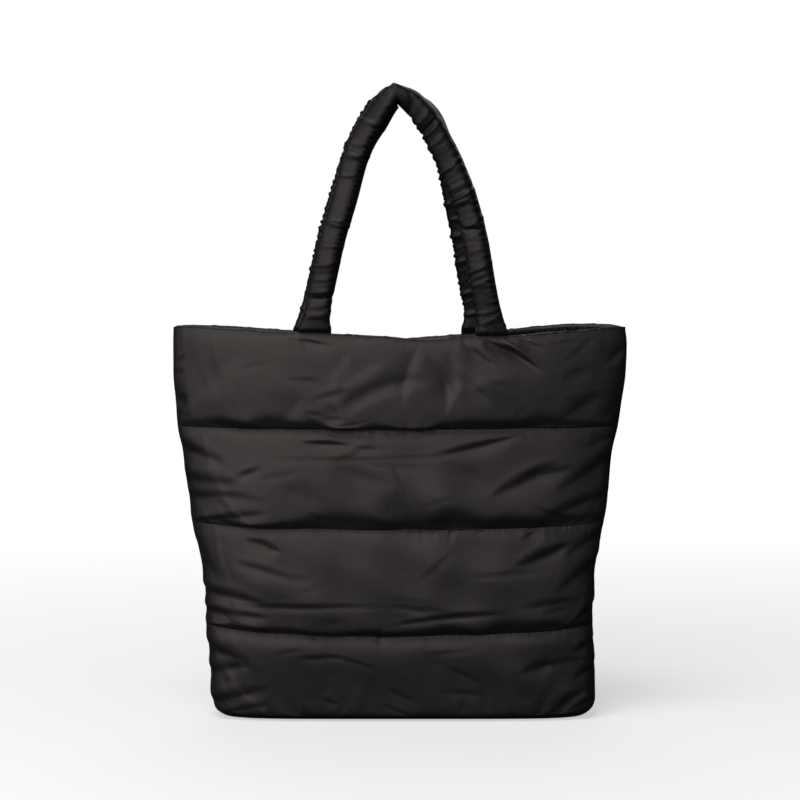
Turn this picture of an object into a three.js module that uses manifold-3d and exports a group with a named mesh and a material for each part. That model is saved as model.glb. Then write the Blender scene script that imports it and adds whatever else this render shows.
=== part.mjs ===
// A padded tote bag, quilted in four wide channels, standing on its base with both handles up.
// Millimetres, +Z up, the front faces -Y, and the origin is in the middle of the underside.
import * as THREE from "three";
import { mergeVertices } from "three/addons/utils/BufferGeometryUtils.js";
import Module from "manifold-3d";

const wasm = await Module();
wasm.setup();

// Body
const mouthWidth = 460; // across the bag at the rim
const bodyHeight = 398; // from the underside to the top of the side seams
const mouthDepth = 58; // between the middles of the two walls at the rim
const baseDepth = 90; // the same, low on the body
const cornerRadius = 21; // lower corners, seen from the front
const heelRadius = 14; // lower edges of the walls, seen from the side
const baseHeight = 6; // where the walls are sewn to the base panel

// Padded walls
const outerPuff = 9; // how far a channel stands out past its seams
const innerPuff = 4; // how far it stands in
const seamThickness = 3;
const rimThickness = 8;
const heelThickness = 6;
const sideReach = 60; // from a side seam to where the padding is full
const sideFullness = 0.3; // share of the padding where a wall faces sideways
const seamGap = 0.3; // between two pieces that are sewn together

// Handles
const handleDrop = 233.5; // from the top of the side seams to the middle of the handles' top
const handleSpread = 177; // between the middles of a handle's feet
const handleWidth = 26;
const handleDepth = 23;
const footWidth = 36;
const tailLength = 14; // flat end of a handle inside the rim
const tailThickness = 4;
const pinchDepth = 1.4; // creases across a handle
const pinchLength = 7;

// Facing inside the mouth
const facingHeight = 32;
const facingThickness = 1.2;
const facingDrop = 4; // from the rim's edge to the facing's edge
const facingGap = 0.6; // between the facing and the walls, whose inner skins have flat facets

// Base panel
const basePuff = 3; // how far its padding stands up in the middle

// Fineness
const columns = 44; // around one wall, an even number
const channelRows = [0, 0.05, 0.15, 0.32, 0.52, 0.72, 0.87, 0.96]; // down one channel, an even number
const sectionSteps = 120;
const turnShare = 0.25; // share of the columns that goes by how much the wall turns
const handleSides = 10;
const handleStep = 13; // between plain stations along a handle

// Seen from the front: half width at each height, as shares of half the mouth's width.
const outline = [
  { height: 0.0, left: 0.824, right: 0.858 },
  { height: 0.15, left: 0.843, right: 0.857 },
  { height: 0.235, left: 0.857, right: 0.852 },
  { height: 0.3, left: 0.861, right: 0.857 },
  { height: 0.36, left: 0.87, right: 0.861 },
  { height: 0.43, left: 0.893, right: 0.881 },
  { height: 0.5, left: 0.92, right: 0.902 },
  { height: 0.56, left: 0.932, right: 0.918 },
  { height: 0.62, left: 0.949, right: 0.927 },
  { height: 0.68, left: 0.961, right: 0.938 },
  { height: 0.74, left: 0.982, right: 0.962 },
  { height: 0.8, left: 0.989, right: 0.977 },
  { height: 0.88, left: 1.0, right: 0.996 },
  { height: 0.95, left: 1.0, right: 1.0 },
  { height: 1.0, left: 0.998, right: 0.99 },
];

// Level sections: depth from the mouth's (0) to the base's (1), and how square the section is.
const sections = [
  { height: 0.0, depth: 1.0, squareness: 5.0 },
  { height: 0.1, depth: 1.0, squareness: 4.6 },
  { height: 0.25, depth: 0.97, squareness: 4.0 },
  { height: 0.5, depth: 0.75, squareness: 3.0 },
  { height: 0.75, depth: 0.38, squareness: 2.3 },
  { height: 1.0, depth: 0.0, squareness: 2.05 },
];

// Height of each rim along its width, as shares of the body's height and of half the mouth's width.
const frontRim = [
  { across: -1.0, height: 0.998 },
  { across: -0.52, height: 0.985 },
  { across: -0.31, height: 0.98 },
  { across: -0.04, height: 0.972 },
  { across: 0.07, height: 0.966 },
  { across: 0.17, height: 0.967 },
  { across: 0.25, height: 0.9745 },
  { across: 0.48, height: 0.977 },
  { across: 0.61, height: 0.985 },
  { across: 0.81, height: 0.991 },
  { across: 0.95, height: 1.0 },
  { across: 1.0, height: 0.998 },
];
const backRim = [
  { across: -1.0, height: 0.998 },
  { across: -0.84, height: 0.993 },
  { across: -0.53, height: 0.982 },
  { across: -0.31, height: 0.972 },
  { across: -0.04, height: 0.959 },
  { across: 0.07, height: 0.963 },
  { across: 0.29, height: 0.973 },
  { across: 0.47, height: 0.984 },
  { across: 0.61, height: 0.9895 },
  { across: 0.78, height: 0.9957 },
  { across: 1.0, height: 0.998 },
];

// Quilting seams from the top down: heights at the sides and in the middle, as shares of the body's height.
const seams = [
  { side: 0.742, middle: 0.742 },
  { side: 0.503, middle: 0.487 },
  { side: 0.248, middle: 0.2195 },
];
const channels = seams.length + 1;

// Folds of each wall, from one end to the other, as shares of half the mouth's width and of the body's height.
// Width is a share of the body's height, and lift a share of the outer puff: ridges above 0, dents below.
const frontFolds = [
  { fromX: 0.35, fromZ: 0.964, toX: 0.62, toZ: 0.885, width: 0.022, lift: -0.55 },
  { fromX: 0.3, fromZ: 0.935, toX: 0.57, toZ: 0.85, width: 0.024, lift: 0.4 },
  { fromX: 0.11, fromZ: 0.955, toX: 0.0, toZ: 0.765, width: 0.03, lift: -0.3 },
  { fromX: -0.25, fromZ: 0.826, toX: 0.13, toZ: 0.89, width: 0.028, lift: 0.35 },
  { fromX: -0.73, fromZ: 0.929, toX: -0.9, toZ: 0.814, width: 0.032, lift: -0.35 },
  { fromX: -0.53, fromZ: 0.957, toX: -0.31, toZ: 0.95, width: 0.026, lift: -0.4 },
  { fromX: 0.7, fromZ: 0.86, toX: 0.86, toZ: 0.8, width: 0.03, lift: -0.25 },
  { fromX: -0.97, fromZ: 0.673, toX: -0.84, toZ: 0.673, width: 0.024, lift: -0.4 },
  { fromX: -0.96, fromZ: 0.622, toX: -0.75, toZ: 0.622, width: 0.022, lift: -0.35 },
  { fromX: -0.92, fromZ: 0.564, toX: -0.68, toZ: 0.564, width: 0.024, lift: -0.3 },
  { fromX: -0.44, fromZ: 0.704, toX: -0.09, toZ: 0.694, width: 0.022, lift: -0.25 },
  { fromX: 0.13, fromZ: 0.699, toX: 0.53, toZ: 0.716, width: 0.024, lift: -0.3 },
  { fromX: 0.84, fromZ: 0.686, toX: 0.44, toZ: 0.54, width: 0.034, lift: -0.35 },
  { fromX: -0.04, fromZ: 0.673, toX: 0.07, toZ: 0.55, width: 0.024, lift: -0.2 },
  { fromX: -0.65, fromZ: 0.457, toX: -0.53, toZ: 0.457, width: 0.026, lift: -0.35 },
  { fromX: -0.67, fromZ: 0.375, toX: -0.52, toZ: 0.375, width: 0.024, lift: -0.3 },
  { fromX: -0.85, fromZ: 0.33, toX: -0.7, toZ: 0.29, width: 0.026, lift: -0.35 },
  { fromX: -0.7, fromZ: 0.285, toX: 0.18, toZ: 0.28, width: 0.02, lift: -0.25 },
  { fromX: 0.87, fromZ: 0.469, toX: 0.53, toZ: 0.406, width: 0.028, lift: -0.35 },
  { fromX: 0.87, fromZ: 0.393, toX: 0.7, toZ: 0.33, width: 0.026, lift: -0.3 },
  { fromX: 0.35, fromZ: 0.367, toX: 0.7, toZ: 0.38, width: 0.022, lift: -0.25 },
  { fromX: -0.84, fromZ: 0.2, toX: -0.7, toZ: 0.163, width: 0.026, lift: -0.3 },
  { fromX: -0.8, fromZ: 0.085, toX: -0.6, toZ: 0.05, width: 0.024, lift: -0.3 },
  { fromX: 0.7, fromZ: 0.085, toX: 0.82, toZ: 0.05, width: 0.024, lift: -0.3 },
  { fromX: 0.77, fromZ: 0.2, toX: 0.84, toZ: 0.15, width: 0.026, lift: -0.3 },
];
const backFolds = [
  { fromX: -0.55, fromZ: 0.955, toX: -0.3, toZ: 0.9, width: 0.026, lift: -0.4 },
  { fromX: 0.3, fromZ: 0.94, toX: 0.5, toZ: 0.83, width: 0.03, lift: -0.35 },
  { fromX: -0.1, fromZ: 0.93, toX: 0.05, toZ: 0.78, width: 0.03, lift: -0.25 },
  { fromX: 0.93, fromZ: 0.66, toX: 0.7, toZ: 0.64, width: 0.024, lift: -0.35 },
  { fromX: -0.9, fromZ: 0.66, toX: -0.5, toZ: 0.56, width: 0.032, lift: -0.35 },
  { fromX: -0.2, fromZ: 0.66, toX: 0.35, toZ: 0.68, width: 0.022, lift: -0.25 },
  { fromX: 0.85, fromZ: 0.43, toX: 0.6, toZ: 0.38, width: 0.026, lift: -0.3 },
  { fromX: -0.85, fromZ: 0.4, toX: -0.5, toZ: 0.33, width: 0.028, lift: -0.35 },
  { fromX: 0.8, fromZ: 0.16, toX: 0.6, toZ: 0.12, width: 0.026, lift: -0.3 },
  { fromX: -0.8, fromZ: 0.17, toX: -0.62, toZ: 0.09, width: 0.026, lift: -0.3 },
];

// Middle line of each handle: sideways places of its two legs, as shares of half the spread,
// at heights that run from the rim (0) to the top (1), where the legs meet in a sharp fold.
const frontLegs = [
  { rise: 0.0, left: -0.985, right: 1.05 },
  { rise: 0.06, left: -0.957, right: 1.03 },
  { rise: 0.22, left: -0.866, right: 0.945 },
  { rise: 0.39, left: -0.762, right: 0.865 },
  { rise: 0.55, left: -0.62, right: 0.75 },
  { rise: 0.72, left: -0.492, right: 0.56 },
  { rise: 0.8, left: -0.404, right: 0.435 },
  { rise: 0.88, left: -0.27, right: 0.308 },
  { rise: 0.92, left: -0.202, right: 0.216 },
  { rise: 1.0, left: -0.057, right: -0.057 },
];
const backLegs = [
  { rise: 0.0, left: -1.05, right: 0.9 },
  { rise: 0.06, left: -1.034, right: 0.885 },
  { rise: 0.22, left: -0.931, right: 0.805 },
  { rise: 0.39, left: -0.828, right: 0.736 },
  { rise: 0.55, left: -0.701, right: 0.644 },
  { rise: 0.72, left: -0.555, right: 0.545 },
  { rise: 0.8, left: -0.47, right: 0.445 },
  { rise: 0.88, left: -0.333, right: 0.356 },
  { rise: 0.92, left: -0.264, right: 0.276 },
  { rise: 1.0, left: -0.069, right: -0.069 },
];

// A leg's section: flare from the tube's width (0) to the foot's (1), fullness from the tail's thickness (0)
// to the tube's depth (1), and how far it has turned from the wall (0) to face straight ahead (1).
const legSections = [
  { rise: 0.0, flare: 1.0, fullness: 0.0, turn: 0.0 },
  { rise: 0.02, flare: 0.8, fullness: 0.4, turn: 0.0 },
  { rise: 0.05, flare: 0.36, fullness: 0.74, turn: 0.2 },
  { rise: 0.1, flare: 0.08, fullness: 0.95, turn: 0.7 },
  { rise: 0.16, flare: 0.0, fullness: 1.0, turn: 1.0 },
  { rise: 0.88, flare: 0.0, fullness: 1.0, turn: 1.0 },
  { rise: 1.0, flare: -0.1, fullness: 0.9, turn: 1.0 },
];

// Heights of the creases across each leg
const frontPinches = {
  left: [0.057, 0.147, 0.23, 0.465, 0.683, 0.745],
  right: [0.057, 0.21, 0.28, 0.445, 0.565, 0.845],
};
const backPinches = {
  left: [0.1, 0.36, 0.6, 0.8],
  right: [0.12, 0.33, 0.52, 0.76],
};

const frontSide = { sign: -1, rim: frontRim, folds: frontFolds, legs: frontLegs, pinches: frontPinches };
const backSide = { sign: 1, rim: backRim, folds: backFolds, legs: backLegs, pinches: backPinches };

// A table's column at a place between its rows, on a smooth curve that never swings past them
function tableValue(rows, key, at, column) {
  const last = rows.length - 1;
  if (at <= rows[0][key]) return rows[0][column];
  if (at >= rows[last][key]) return rows[last][column];
  const row = rows.findIndex((entry) => entry[key] > at) - 1;
  const step = (i) => rows[i + 1][key] - rows[i][key];
  const grade = (i) => (rows[i + 1][column] - rows[i][column]) / step(i);
  const slope = (i) => {
    if (i === 0) return grade(0);
    if (i === last) return grade(last - 1);
    const product = grade(i - 1) * grade(i);
    return product <= 0 ? 0 : (2 * product) / (grade(i - 1) + grade(i));
  };
  const t = (at - rows[row][key]) / step(row);
  const bump = t * (1 - t) * step(row);
  const blend = t * t * (3 - 2 * t);
  const ends = rows[row][column] * (1 - blend) + rows[row + 1][column] * blend;
  return ends + bump * (slope(row) * (1 - t) - slope(row + 1) * t);
}

// How far a round edge of a given radius stands in at a height above its lowest point
function roundInset(radius, height) {
  const below = Math.max(radius - height, 0);
  return radius - Math.sqrt(radius ** 2 - below ** 2);
}

// Half widths, half depth and squareness of the wall's middle at a height
function bodySection(height) {
  const share = height / bodyHeight;
  const inset = seamThickness / 2 + roundInset(cornerRadius, height);
  const fill = tableValue(sections, "height", share, "depth");
  return {
    left: (mouthWidth / 2) * tableValue(outline, "height", share, "left") - inset,
    right: (mouthWidth / 2) * tableValue(outline, "height", share, "right") - inset,
    depth: THREE.MathUtils.lerp(mouthDepth, baseDepth, fill) / 2 - roundInset(heelRadius, height),
    squareness: tableValue(sections, "height", share, "squareness"),
  };
}

// Point of the wall's middle at a height. Across runs from -1 at the left side seam, past 0 in the middle,
// to 1 at the right one, by length and by how much the wall turns. Out is the distance from the plane
// between front and back, the normals point out of the bag, and fullness is the padding's share there.
function wallPoint(across, height) {
  const { left, right, depth, squareness } = bodySection(height);
  const width = across < 0 ? left : right;
  const points = Array.from({ length: sectionSteps + 1 }, (_, step) => {
    const angle = (step / sectionSteps) * (Math.PI / 2);
    const [sine, cosine] = [Math.sin(angle), Math.max(Math.cos(angle), 0)];
    const reach = (sine ** squareness + cosine ** squareness) ** (-1 / squareness);
    return new THREE.Vector2(width * sine * reach, depth * cosine * reach);
  });
  const runs = points.slice(1).map((point, i) => point.clone().sub(points[i]));
  const length = runs.reduce((sum, run) => sum + run.length(), 0);
  let passed = 0;
  const passes = [0].concat(runs.map((run) => {
    passed += run.length();
    return passed;
  }));
  const turns = [0].concat(runs.map((run) => Math.atan2(-run.y, run.x) / (Math.PI / 2)));
  const places = passes.map((pass, i) => THREE.MathUtils.lerp(pass / length, turns[i], turnShare));
  const reached = Math.abs(across) * places[sectionSteps];
  const at = Math.max(places.findIndex((place) => place >= reached), 1);
  const part = (reached - places[at - 1]) / (places[at] - places[at - 1]);
  const point = points[at - 1].clone().lerp(points[at], part);
  const normal = new THREE.Vector2(
    (Math.abs(point.x) / width) ** (squareness - 1) / width,
    (Math.max(point.y, 0) / depth) ** (squareness - 1) / depth,
  ).normalize();
  const fromSeam = length - THREE.MathUtils.lerp(passes[at - 1], passes[at], part);
  const fullness = Math.sin((Math.PI / 2) * Math.min(fromSeam / sideReach, 1));
  const side = across < 0 ? -1 : 1;
  return {
    x: side * point.x,
    out: point.y,
    normalX: side * normal.x,
    normalOut: normal.y,
    fullness: fullness * THREE.MathUtils.lerp(sideFullness, 1, normal.y),
  };
}

// Height of the rim (0), of a quilting seam (1 and on) or of the base seam, at a place across the wall
function seamHeight(wall, seam, across) {
  if (seam === channels) return baseHeight;
  const row = seams[seam - 1] ?? { side: 1 };
  const { x } = wallPoint(across, row.side * bodyHeight);
  const share = x / (mouthWidth / 2);
  if (seam === 0) return bodyHeight * tableValue(wall.rim, "across", share, "height");
  return bodyHeight * (row.side + (row.middle - row.side) * (1 - share ** 2));
}

// Where a place across and down the wall lies. Down runs from 0 at the rim to the number of channels at the base.
function wallPlace(wall, across, down) {
  const channel = Math.min(Math.floor(down), channels - 1);
  const fall = down - channel;
  const upper = seamHeight(wall, channel, across);
  const lower = seamHeight(wall, channel + 1, across);
  return { channel, fall, height: THREE.MathUtils.lerp(upper, lower, fall) };
}

// Padding down a channel, from 0 at its seams to 1 where it is fullest, a little below its middle
function padding(fall) {
  return Math.max(Math.sin(Math.PI * fall ** 1.35), 0) ** 0.55;
}

// Half thickness of the wall at its seams, between those above and below a place
function edgeHalf(channel, fall, fullness) {
  const rim = THREE.MathUtils.lerp(seamThickness, rimThickness, fullness);
  const upper = channel === 0 ? rim : seamThickness;
  const lower = channel === channels - 1 ? heelThickness : seamThickness;
  return THREE.MathUtils.lerp(upper, lower, fall) / 2;
}

// Sum of a wall's folds at a point seen from the front
function foldLift(wall, x, height) {
  const point = new THREE.Vector2(x, height);
  const place = (shareX, shareZ) => new THREE.Vector2((shareX * mouthWidth) / 2, shareZ * bodyHeight);
  return wall.folds.reduce((sum, fold) => {
    const from = place(fold.fromX, fold.fromZ);
    const line = place(fold.toX, fold.toZ).sub(from);
    const along = THREE.MathUtils.clamp(point.clone().sub(from).dot(line) / line.lengthSq(), 0, 1);
    const distance = point.distanceTo(from.addScaledVector(line, along));
    return sum + outerPuff * fold.lift * Math.exp(-((distance / (fold.width * bodyHeight)) ** 2));
  }, 0);
}

// Point of a wall's outer skin, or of its inner skin moved further in by a given amount
function skinPoint(wall, across, down, skin, further = 0) {
  const { channel, fall, height } = wallPlace(wall, across, down);
  const middle = wallPoint(across, height);
  const full = padding(fall) * middle.fullness;
  const edge = edgeHalf(channel, fall, middle.fullness);
  const outer = edge + full * (outerPuff + foldLift(wall, middle.x, height));
  const offset = skin === "outer" ? outer : -(edge + innerPuff * full + further);
  const out = middle.out + middle.normalOut * offset + seamGap / 2;
  return new THREE.Vector3(middle.x + middle.normalX * offset, wall.sign * out, height);
}

// A mesh from a list of points and triangles, turned inside out where it was built mirrored
function meshGeometry(points, triangles, mirrored = false) {
  const geometry = new THREE.BufferGeometry();
  const flat = triangles.flatMap(([a, b, c]) => (mirrored ? [a, c, b] : [a, b, c]));
  geometry.setAttribute("position", new THREE.Float32BufferAttribute(points.flatMap((p) => p.toArray()), 3));
  geometry.setIndex(flat);
  return geometry;
}

// Triangles between two rows of numbered points that run side by side, the first row with the same points or more
function stitchRows(first, second) {
  const triangles = [];
  let [i, j] = [0, 0];
  while (i < first.length - 1 || j < second.length - 1) {
    const firstNext = (i + 1) / (first.length - 1);
    const secondNext = (j + 1) / (second.length - 1);
    if (j === second.length - 1 || (i < first.length - 1 && firstNext <= secondNext + 1e-9)) {
      triangles.push([first[i], first[i + 1], second[j]]);
      i += 1;
    } else {
      triangles.push([first[i], second[j + 1], second[j]]);
      j += 1;
    }
  }
  return triangles;
}

// Evenly numbered places across a wall
function placesAcross(count) {
  return Array.from({ length: count + 1 }, (_, i) => (2 * i) / count - 1);
}

// One padded wall: a fine outer skin, an inner skin at half its fineness, and the edges between them
function wallGeometry(wall) {
  const across = placesAcross(columns);
  const down = Array.from({ length: channels }, (_, c) => channelRows.map((row) => c + row)).flat();
  down.push(channels);
  const points = [];
  const grid = (rows, places, skin) => rows.map((row) => places.map((place) => {
    points.push(skinPoint(wall, place, row, skin));
    return points.length - 1;
  }));
  const everySecond = (list) => list.filter((_, i) => i % 2 === 0);
  const outer = grid(down, across, "outer");
  const inner = grid(everySecond(down), everySecond(across), "inner");
  const sheet = (rows) => rows.slice(1).flatMap((row, i) => stitchRows(row, rows[i]));
  const flipped = (triangles) => triangles.map(([a, b, c]) => [a, c, b]);
  const side = (rows, at) => rows.map((row) => row.at(at));
  const triangles = [
    ...sheet(outer),
    ...flipped(sheet(inner)),
    ...stitchRows(outer[0], inner[0]),
    ...flipped(stitchRows(outer.at(-1), inner.at(-1))),
    ...flipped(stitchRows(side(outer, 0), side(inner, 0))),
    ...stitchRows(side(outer, -1), side(inner, -1)),
  ];
  return meshGeometry(points, triangles, wall.sign > 0);
}

// Skin from one closed ring of points to the next, and a fan that closes a ring
function ringTriangles(ring, next) {
  return ring.flatMap((point, i) => {
    const j = (i + 1) % ring.length;
    return [[point, ring[j], next[j]], [point, next[j], next[i]]];
  });
}
function fanTriangles(ring, centre) {
  return ring.map((point, i) => [point, ring[(i + 1) % ring.length], centre]);
}

// Places round the whole body, front first and then back, with the side seams once each
function placesAround(pointAt) {
  const places = placesAcross(columns / 2);
  const front = places.map((across) => pointAt(frontSide, across));
  const back = places.slice(1, -1).reverse().map((across) => pointAt(backSide, across));
  return front.concat(back);
}

// Base panel: a flat underside, round lower edges, and a padded floor under and between the walls
function baseGeometry() {
  const edgeTop = baseHeight - seamGap;
  const edgeHeights = [0, 0.1, 0.3, 0.6, 1].map((share) => share * edgeTop);
  const floorRings = [
    { scale: 0.86, lift: 0 },
    { scale: 0.6, lift: 0.8 },
    { scale: 0.3, lift: 1 },
  ];
  const edgePoint = (height) => (wall, across) => {
    const middle = wallPoint(across, height);
    const out = middle.out + (middle.normalOut * heelThickness) / 2;
    return new THREE.Vector3(middle.x + (middle.normalX * heelThickness) / 2, wall.sign * out, height);
  };
  const points = [];
  const number = (ring) => ring.map((point) => points.push(point) - 1);
  const edges = edgeHeights.map((height) => number(placesAround(edgePoint(height))));
  const floors = floorRings.map(({ scale, lift }) => number(placesAround((wall, across) => {
    const point = edgePoint(edgeTop)(wall, across);
    return new THREE.Vector3(point.x * scale, point.y * scale, edgeTop + basePuff * lift);
  })));
  const rings = edges.concat(floors);
  const [underside, floor] = number([new THREE.Vector3(), new THREE.Vector3(0, 0, edgeTop + basePuff)]);
  return meshGeometry(points, [
    ...rings.slice(1).flatMap((ring, i) => ringTriangles(rings[i], ring)),
    ...fanTriangles(rings.at(-1), floor),
    ...fanTriangles([...rings[0]].reverse(), underside),
  ]);
}

// Facing: a thin strip that lines the mouth all round, just inside the walls' inner skins
function facingGeometry() {
  const reach = (1 - seams[0].side) * bodyHeight;
  const rows = [facingDrop / reach, channelRows[2], channelRows[3], (facingDrop + facingHeight) / reach];
  const points = [];
  const ring = (down, further) => placesAround((wall, across) => {
    const point = skinPoint(wall, across, down, "inner", further);
    return new THREE.Vector3(point.x, Math.abs(across) === 1 ? 0 : point.y, point.z);
  }).map((point) => points.push(point) - 1);
  const backing = rows.map((down) => ring(down, facingGap));
  const face = rows.map((down) => ring(down, facingGap + facingThickness)).reverse();
  const rings = backing.concat(face);
  const triangles = rings.flatMap((entry, i) => ringTriangles(rings[(i + 1) % rings.length], entry));
  return meshGeometry(points, triangles);
}

// Where a leg of a handle is sewn into the rim: the rim's height there, and the middle of the wall
function legFoot(wall, leg) {
  const x = (handleSpread / 2) * wall.legs[0][leg];
  const share = (edge) => (x + (edge * footWidth) / 2) / (mouthWidth / 2);
  const heights = [-1, 0, 1].map((edge) => tableValue(wall.rim, "across", share(edge), "height") * bodyHeight);
  const top = Math.max(...heights);
  const { left, right, depth, squareness } = bodySection(heights[1] - tailLength / 2);
  const width = x < 0 ? left : right;
  const near = Math.abs(x) / width;
  const out = depth * (1 - near ** squareness) ** (1 / squareness) + seamGap / 2;
  const normal = new THREE.Vector2(near ** (squareness - 1) / width, (out / depth) ** (squareness - 1) / depth);
  normal.normalize();
  return { x, out, top, bottom: heights[1] - tailLength, turn: new THREE.Vector2(Math.sign(x) * normal.x, normal.y) };
}

// Heights of the stations along a leg: even steps, and three at each crease
function legRises(wall, leg) {
  const count = Math.round(handleDrop / handleStep);
  const reach = pinchLength / 2 / handleDrop;
  const creases = wall.pinches[leg].flatMap((rise) => [rise - reach, rise, rise + reach]);
  const rooted = legSections.slice(0, 4).map((row) => row.rise);
  const plain = Array.from({ length: count - 1 }, (_, i) => (i + 1) / count)
    .filter((rise) => rise > 0.12 && creases.every((crease) => Math.abs(crease - rise) > reach * 1.6));
  return [...rooted, ...plain, ...creases.filter((rise) => rise > 0.01), 0.955].sort((a, b) => a - b);
}

// Stations along one leg from its tail up: middle, width, depth, squareness, and the way that the depth runs
function legStations(wall, leg) {
  const foot = legFoot(wall, leg);
  const topOut = handleDepth / 2 + seamGap / 2;
  const station = (rise) => {
    const look = (table, column) => tableValue(table, "rise", rise, column);
    const crease = wall.pinches[leg].reduce((sum, at) => (
      sum + Math.exp(-((((rise - at) * handleDrop) / (pinchLength / 2)) ** 2))
    ), 0);
    const width = handleWidth + (footWidth - handleWidth) * look(legSections, "flare");
    const depth = THREE.MathUtils.lerp(tailThickness, handleDepth, look(legSections, "fullness"));
    const out = THREE.MathUtils.lerp(foot.out, topOut, THREE.MathUtils.smoothstep(rise, 0, 1));
    const turn = foot.turn.clone().lerp(new THREE.Vector2(0, 1), look(legSections, "turn")).normalize();
    const start = foot.top + seamGap;
    return {
      middle: new THREE.Vector3(
        (handleSpread / 2) * look(wall.legs, leg),
        wall.sign * out,
        THREE.MathUtils.lerp(start, bodyHeight + handleDrop, rise),
      ),
      width: width - 2 * pinchDepth * crease,
      depth: depth - (rise > 0.05 ? pinchDepth * crease : 0),
      squareness: rise < 0.02 ? 4 : 2.2,
      deep: new THREE.Vector3(turn.x, wall.sign * turn.y, 0),
    };
  };
  const stations = legRises(wall, leg).map(station);
  const tail = { ...stations[0], middle: stations[0].middle.clone().setZ(foot.bottom) };
  return [tail, ...stations];
}

// A closed tube through stations, whose sections lie square to its middle line
function tubeGeometry(stations) {
  const points = [];
  const rings = stations.map((station, i) => {
    const before = stations[Math.max(i - 1, 0)].middle;
    const after = stations[Math.min(i + 1, stations.length - 1)].middle;
    const level = i === 0 || i === stations.length - 1 || station.squareness > 3;
    const rising = after.clone().sub(before);
    const along = level ? new THREE.Vector3(0, 0, Math.sign(rising.z)) : rising.setY(0).normalize();
    const wide = station.deep.clone().cross(along).normalize();
    return Array.from({ length: handleSides }, (_, side) => {
      const angle = ((side + 0.5) / handleSides) * 2 * Math.PI;
      const round = (value) => Math.sign(value) * Math.abs(value) ** (2 / station.squareness);
      const point = station.middle.clone()
        .addScaledVector(wide, (station.width / 2) * round(Math.cos(angle)))
        .addScaledVector(station.deep, (station.depth / 2) * round(Math.sin(angle)));
      return points.push(point) - 1;
    });
  });
  const [first, last] = [stations[0], stations.at(-1)].map(({ middle }) => points.push(middle.clone()) - 1);
  return meshGeometry(points, [
    ...rings.slice(1).flatMap((ring, i) => ringTriangles(rings[i], ring)),
    ...fanTriangles([...rings[0]].reverse(), first),
    ...fanTriangles(rings.at(-1), last),
  ]);
}

// A padded handle: up one leg from its tail, over the sharp fold at the top and down the other leg
function handleGeometry(wall) {
  const [left, right] = ["left", "right"].map((leg) => legStations(wall, leg));
  const down = right.reverse();
  const top = { ...left.at(-1), middle: left.at(-1).middle.clone() };
  top.middle.x = (handleSpread / 2) * wall.legs.at(-1).left;
  top.middle.z = bodyHeight + handleDrop;
  top.middle.y = wall.sign * (handleDepth + seamGap) / 2;
  return tubeGeometry([...left, top, ...down]);
}

// The space that a handle's tail takes in the wall, with its clearance
function slotGeometry(wall, leg) {
  const [tail, , above] = legStations(wall, leg);
  const grown = { ...tail, width: tail.width + 2 * seamGap, depth: tail.depth + 2 * seamGap };
  const bottom = { ...grown, middle: tail.middle.clone().setZ(tail.middle.z - seamGap) };
  const top = { ...grown, middle: tail.middle.clone().setZ(above.middle.z) };
  return tubeGeometry([bottom, top]);
}

// A solid that can be cut, from a mesh, and a mesh from it
function solidOf(geometry) {
  geometry.deleteAttribute("normal");
  geometry.deleteAttribute("uv");
  const merged = mergeVertices(geometry);
  return new wasm.Manifold(new wasm.Mesh({
    numProp: 3,
    vertProperties: new Float32Array(merged.attributes.position.array),
    triVerts: new Uint32Array(merged.index.array),
  }));
}
function geometryOf(solid) {
  const mesh = solid.getMesh();
  const geometry = new THREE.BufferGeometry();
  geometry.setAttribute("position", new THREE.BufferAttribute(mesh.vertProperties, mesh.numProp));
  geometry.setIndex(new THREE.BufferAttribute(mesh.triVerts, 1));
  return geometry;
}

// A wall with slots in its top edge for the tails of its handle
function slottedWallGeometry(wall) {
  const slots = ["left", "right"].map((leg) => solidOf(slotGeometry(wall, leg)));
  return geometryOf(slots.reduce((solid, slot) => solid.subtract(slot), solidOf(wallGeometry(wall))));
}

// One named piece in its own material
function piece(name, geometry, color, roughness) {
  geometry.computeVertexNormals();
  const mesh = new THREE.Mesh(geometry, new THREE.MeshStandardMaterial({ color, roughness, metalness: 0 }));
  mesh.name = name;
  return mesh;
}

const shell = { color: 0x2f2c2b, roughness: 0.42 };
const lining = { color: 0x201f1f, roughness: 0.6 };

const bag = new THREE.Group();
bag.add(
  piece("front_panel", slottedWallGeometry(frontSide), shell.color, shell.roughness),
  piece("back_panel", slottedWallGeometry(backSide), shell.color, shell.roughness),
  piece("base_panel", baseGeometry(), shell.color, shell.roughness),
  piece("mouth_facing", facingGeometry(), lining.color, lining.roughness),
  piece("front_handle", handleGeometry(frontSide), shell.color, shell.roughness),
  piece("back_handle", handleGeometry(backSide), shell.color, shell.roughness),
);

export default bag;
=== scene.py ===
"""A padded tote bag in glossy black nylon, quilted in four level channels, standing with both handles up."""
import math
from collections import namedtuple

import bpy
import numpy as np
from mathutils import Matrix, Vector


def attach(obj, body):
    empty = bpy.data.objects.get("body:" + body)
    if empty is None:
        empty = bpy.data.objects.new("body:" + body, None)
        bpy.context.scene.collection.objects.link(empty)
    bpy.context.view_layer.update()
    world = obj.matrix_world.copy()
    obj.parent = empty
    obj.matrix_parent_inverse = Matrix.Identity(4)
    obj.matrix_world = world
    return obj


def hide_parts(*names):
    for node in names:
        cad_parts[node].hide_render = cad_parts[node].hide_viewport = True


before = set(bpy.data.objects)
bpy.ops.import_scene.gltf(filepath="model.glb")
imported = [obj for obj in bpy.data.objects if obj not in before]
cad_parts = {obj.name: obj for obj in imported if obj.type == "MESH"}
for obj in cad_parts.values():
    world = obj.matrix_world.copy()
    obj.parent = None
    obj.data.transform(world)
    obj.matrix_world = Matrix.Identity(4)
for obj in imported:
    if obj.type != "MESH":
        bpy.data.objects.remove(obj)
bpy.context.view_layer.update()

MM = 0.001

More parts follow.
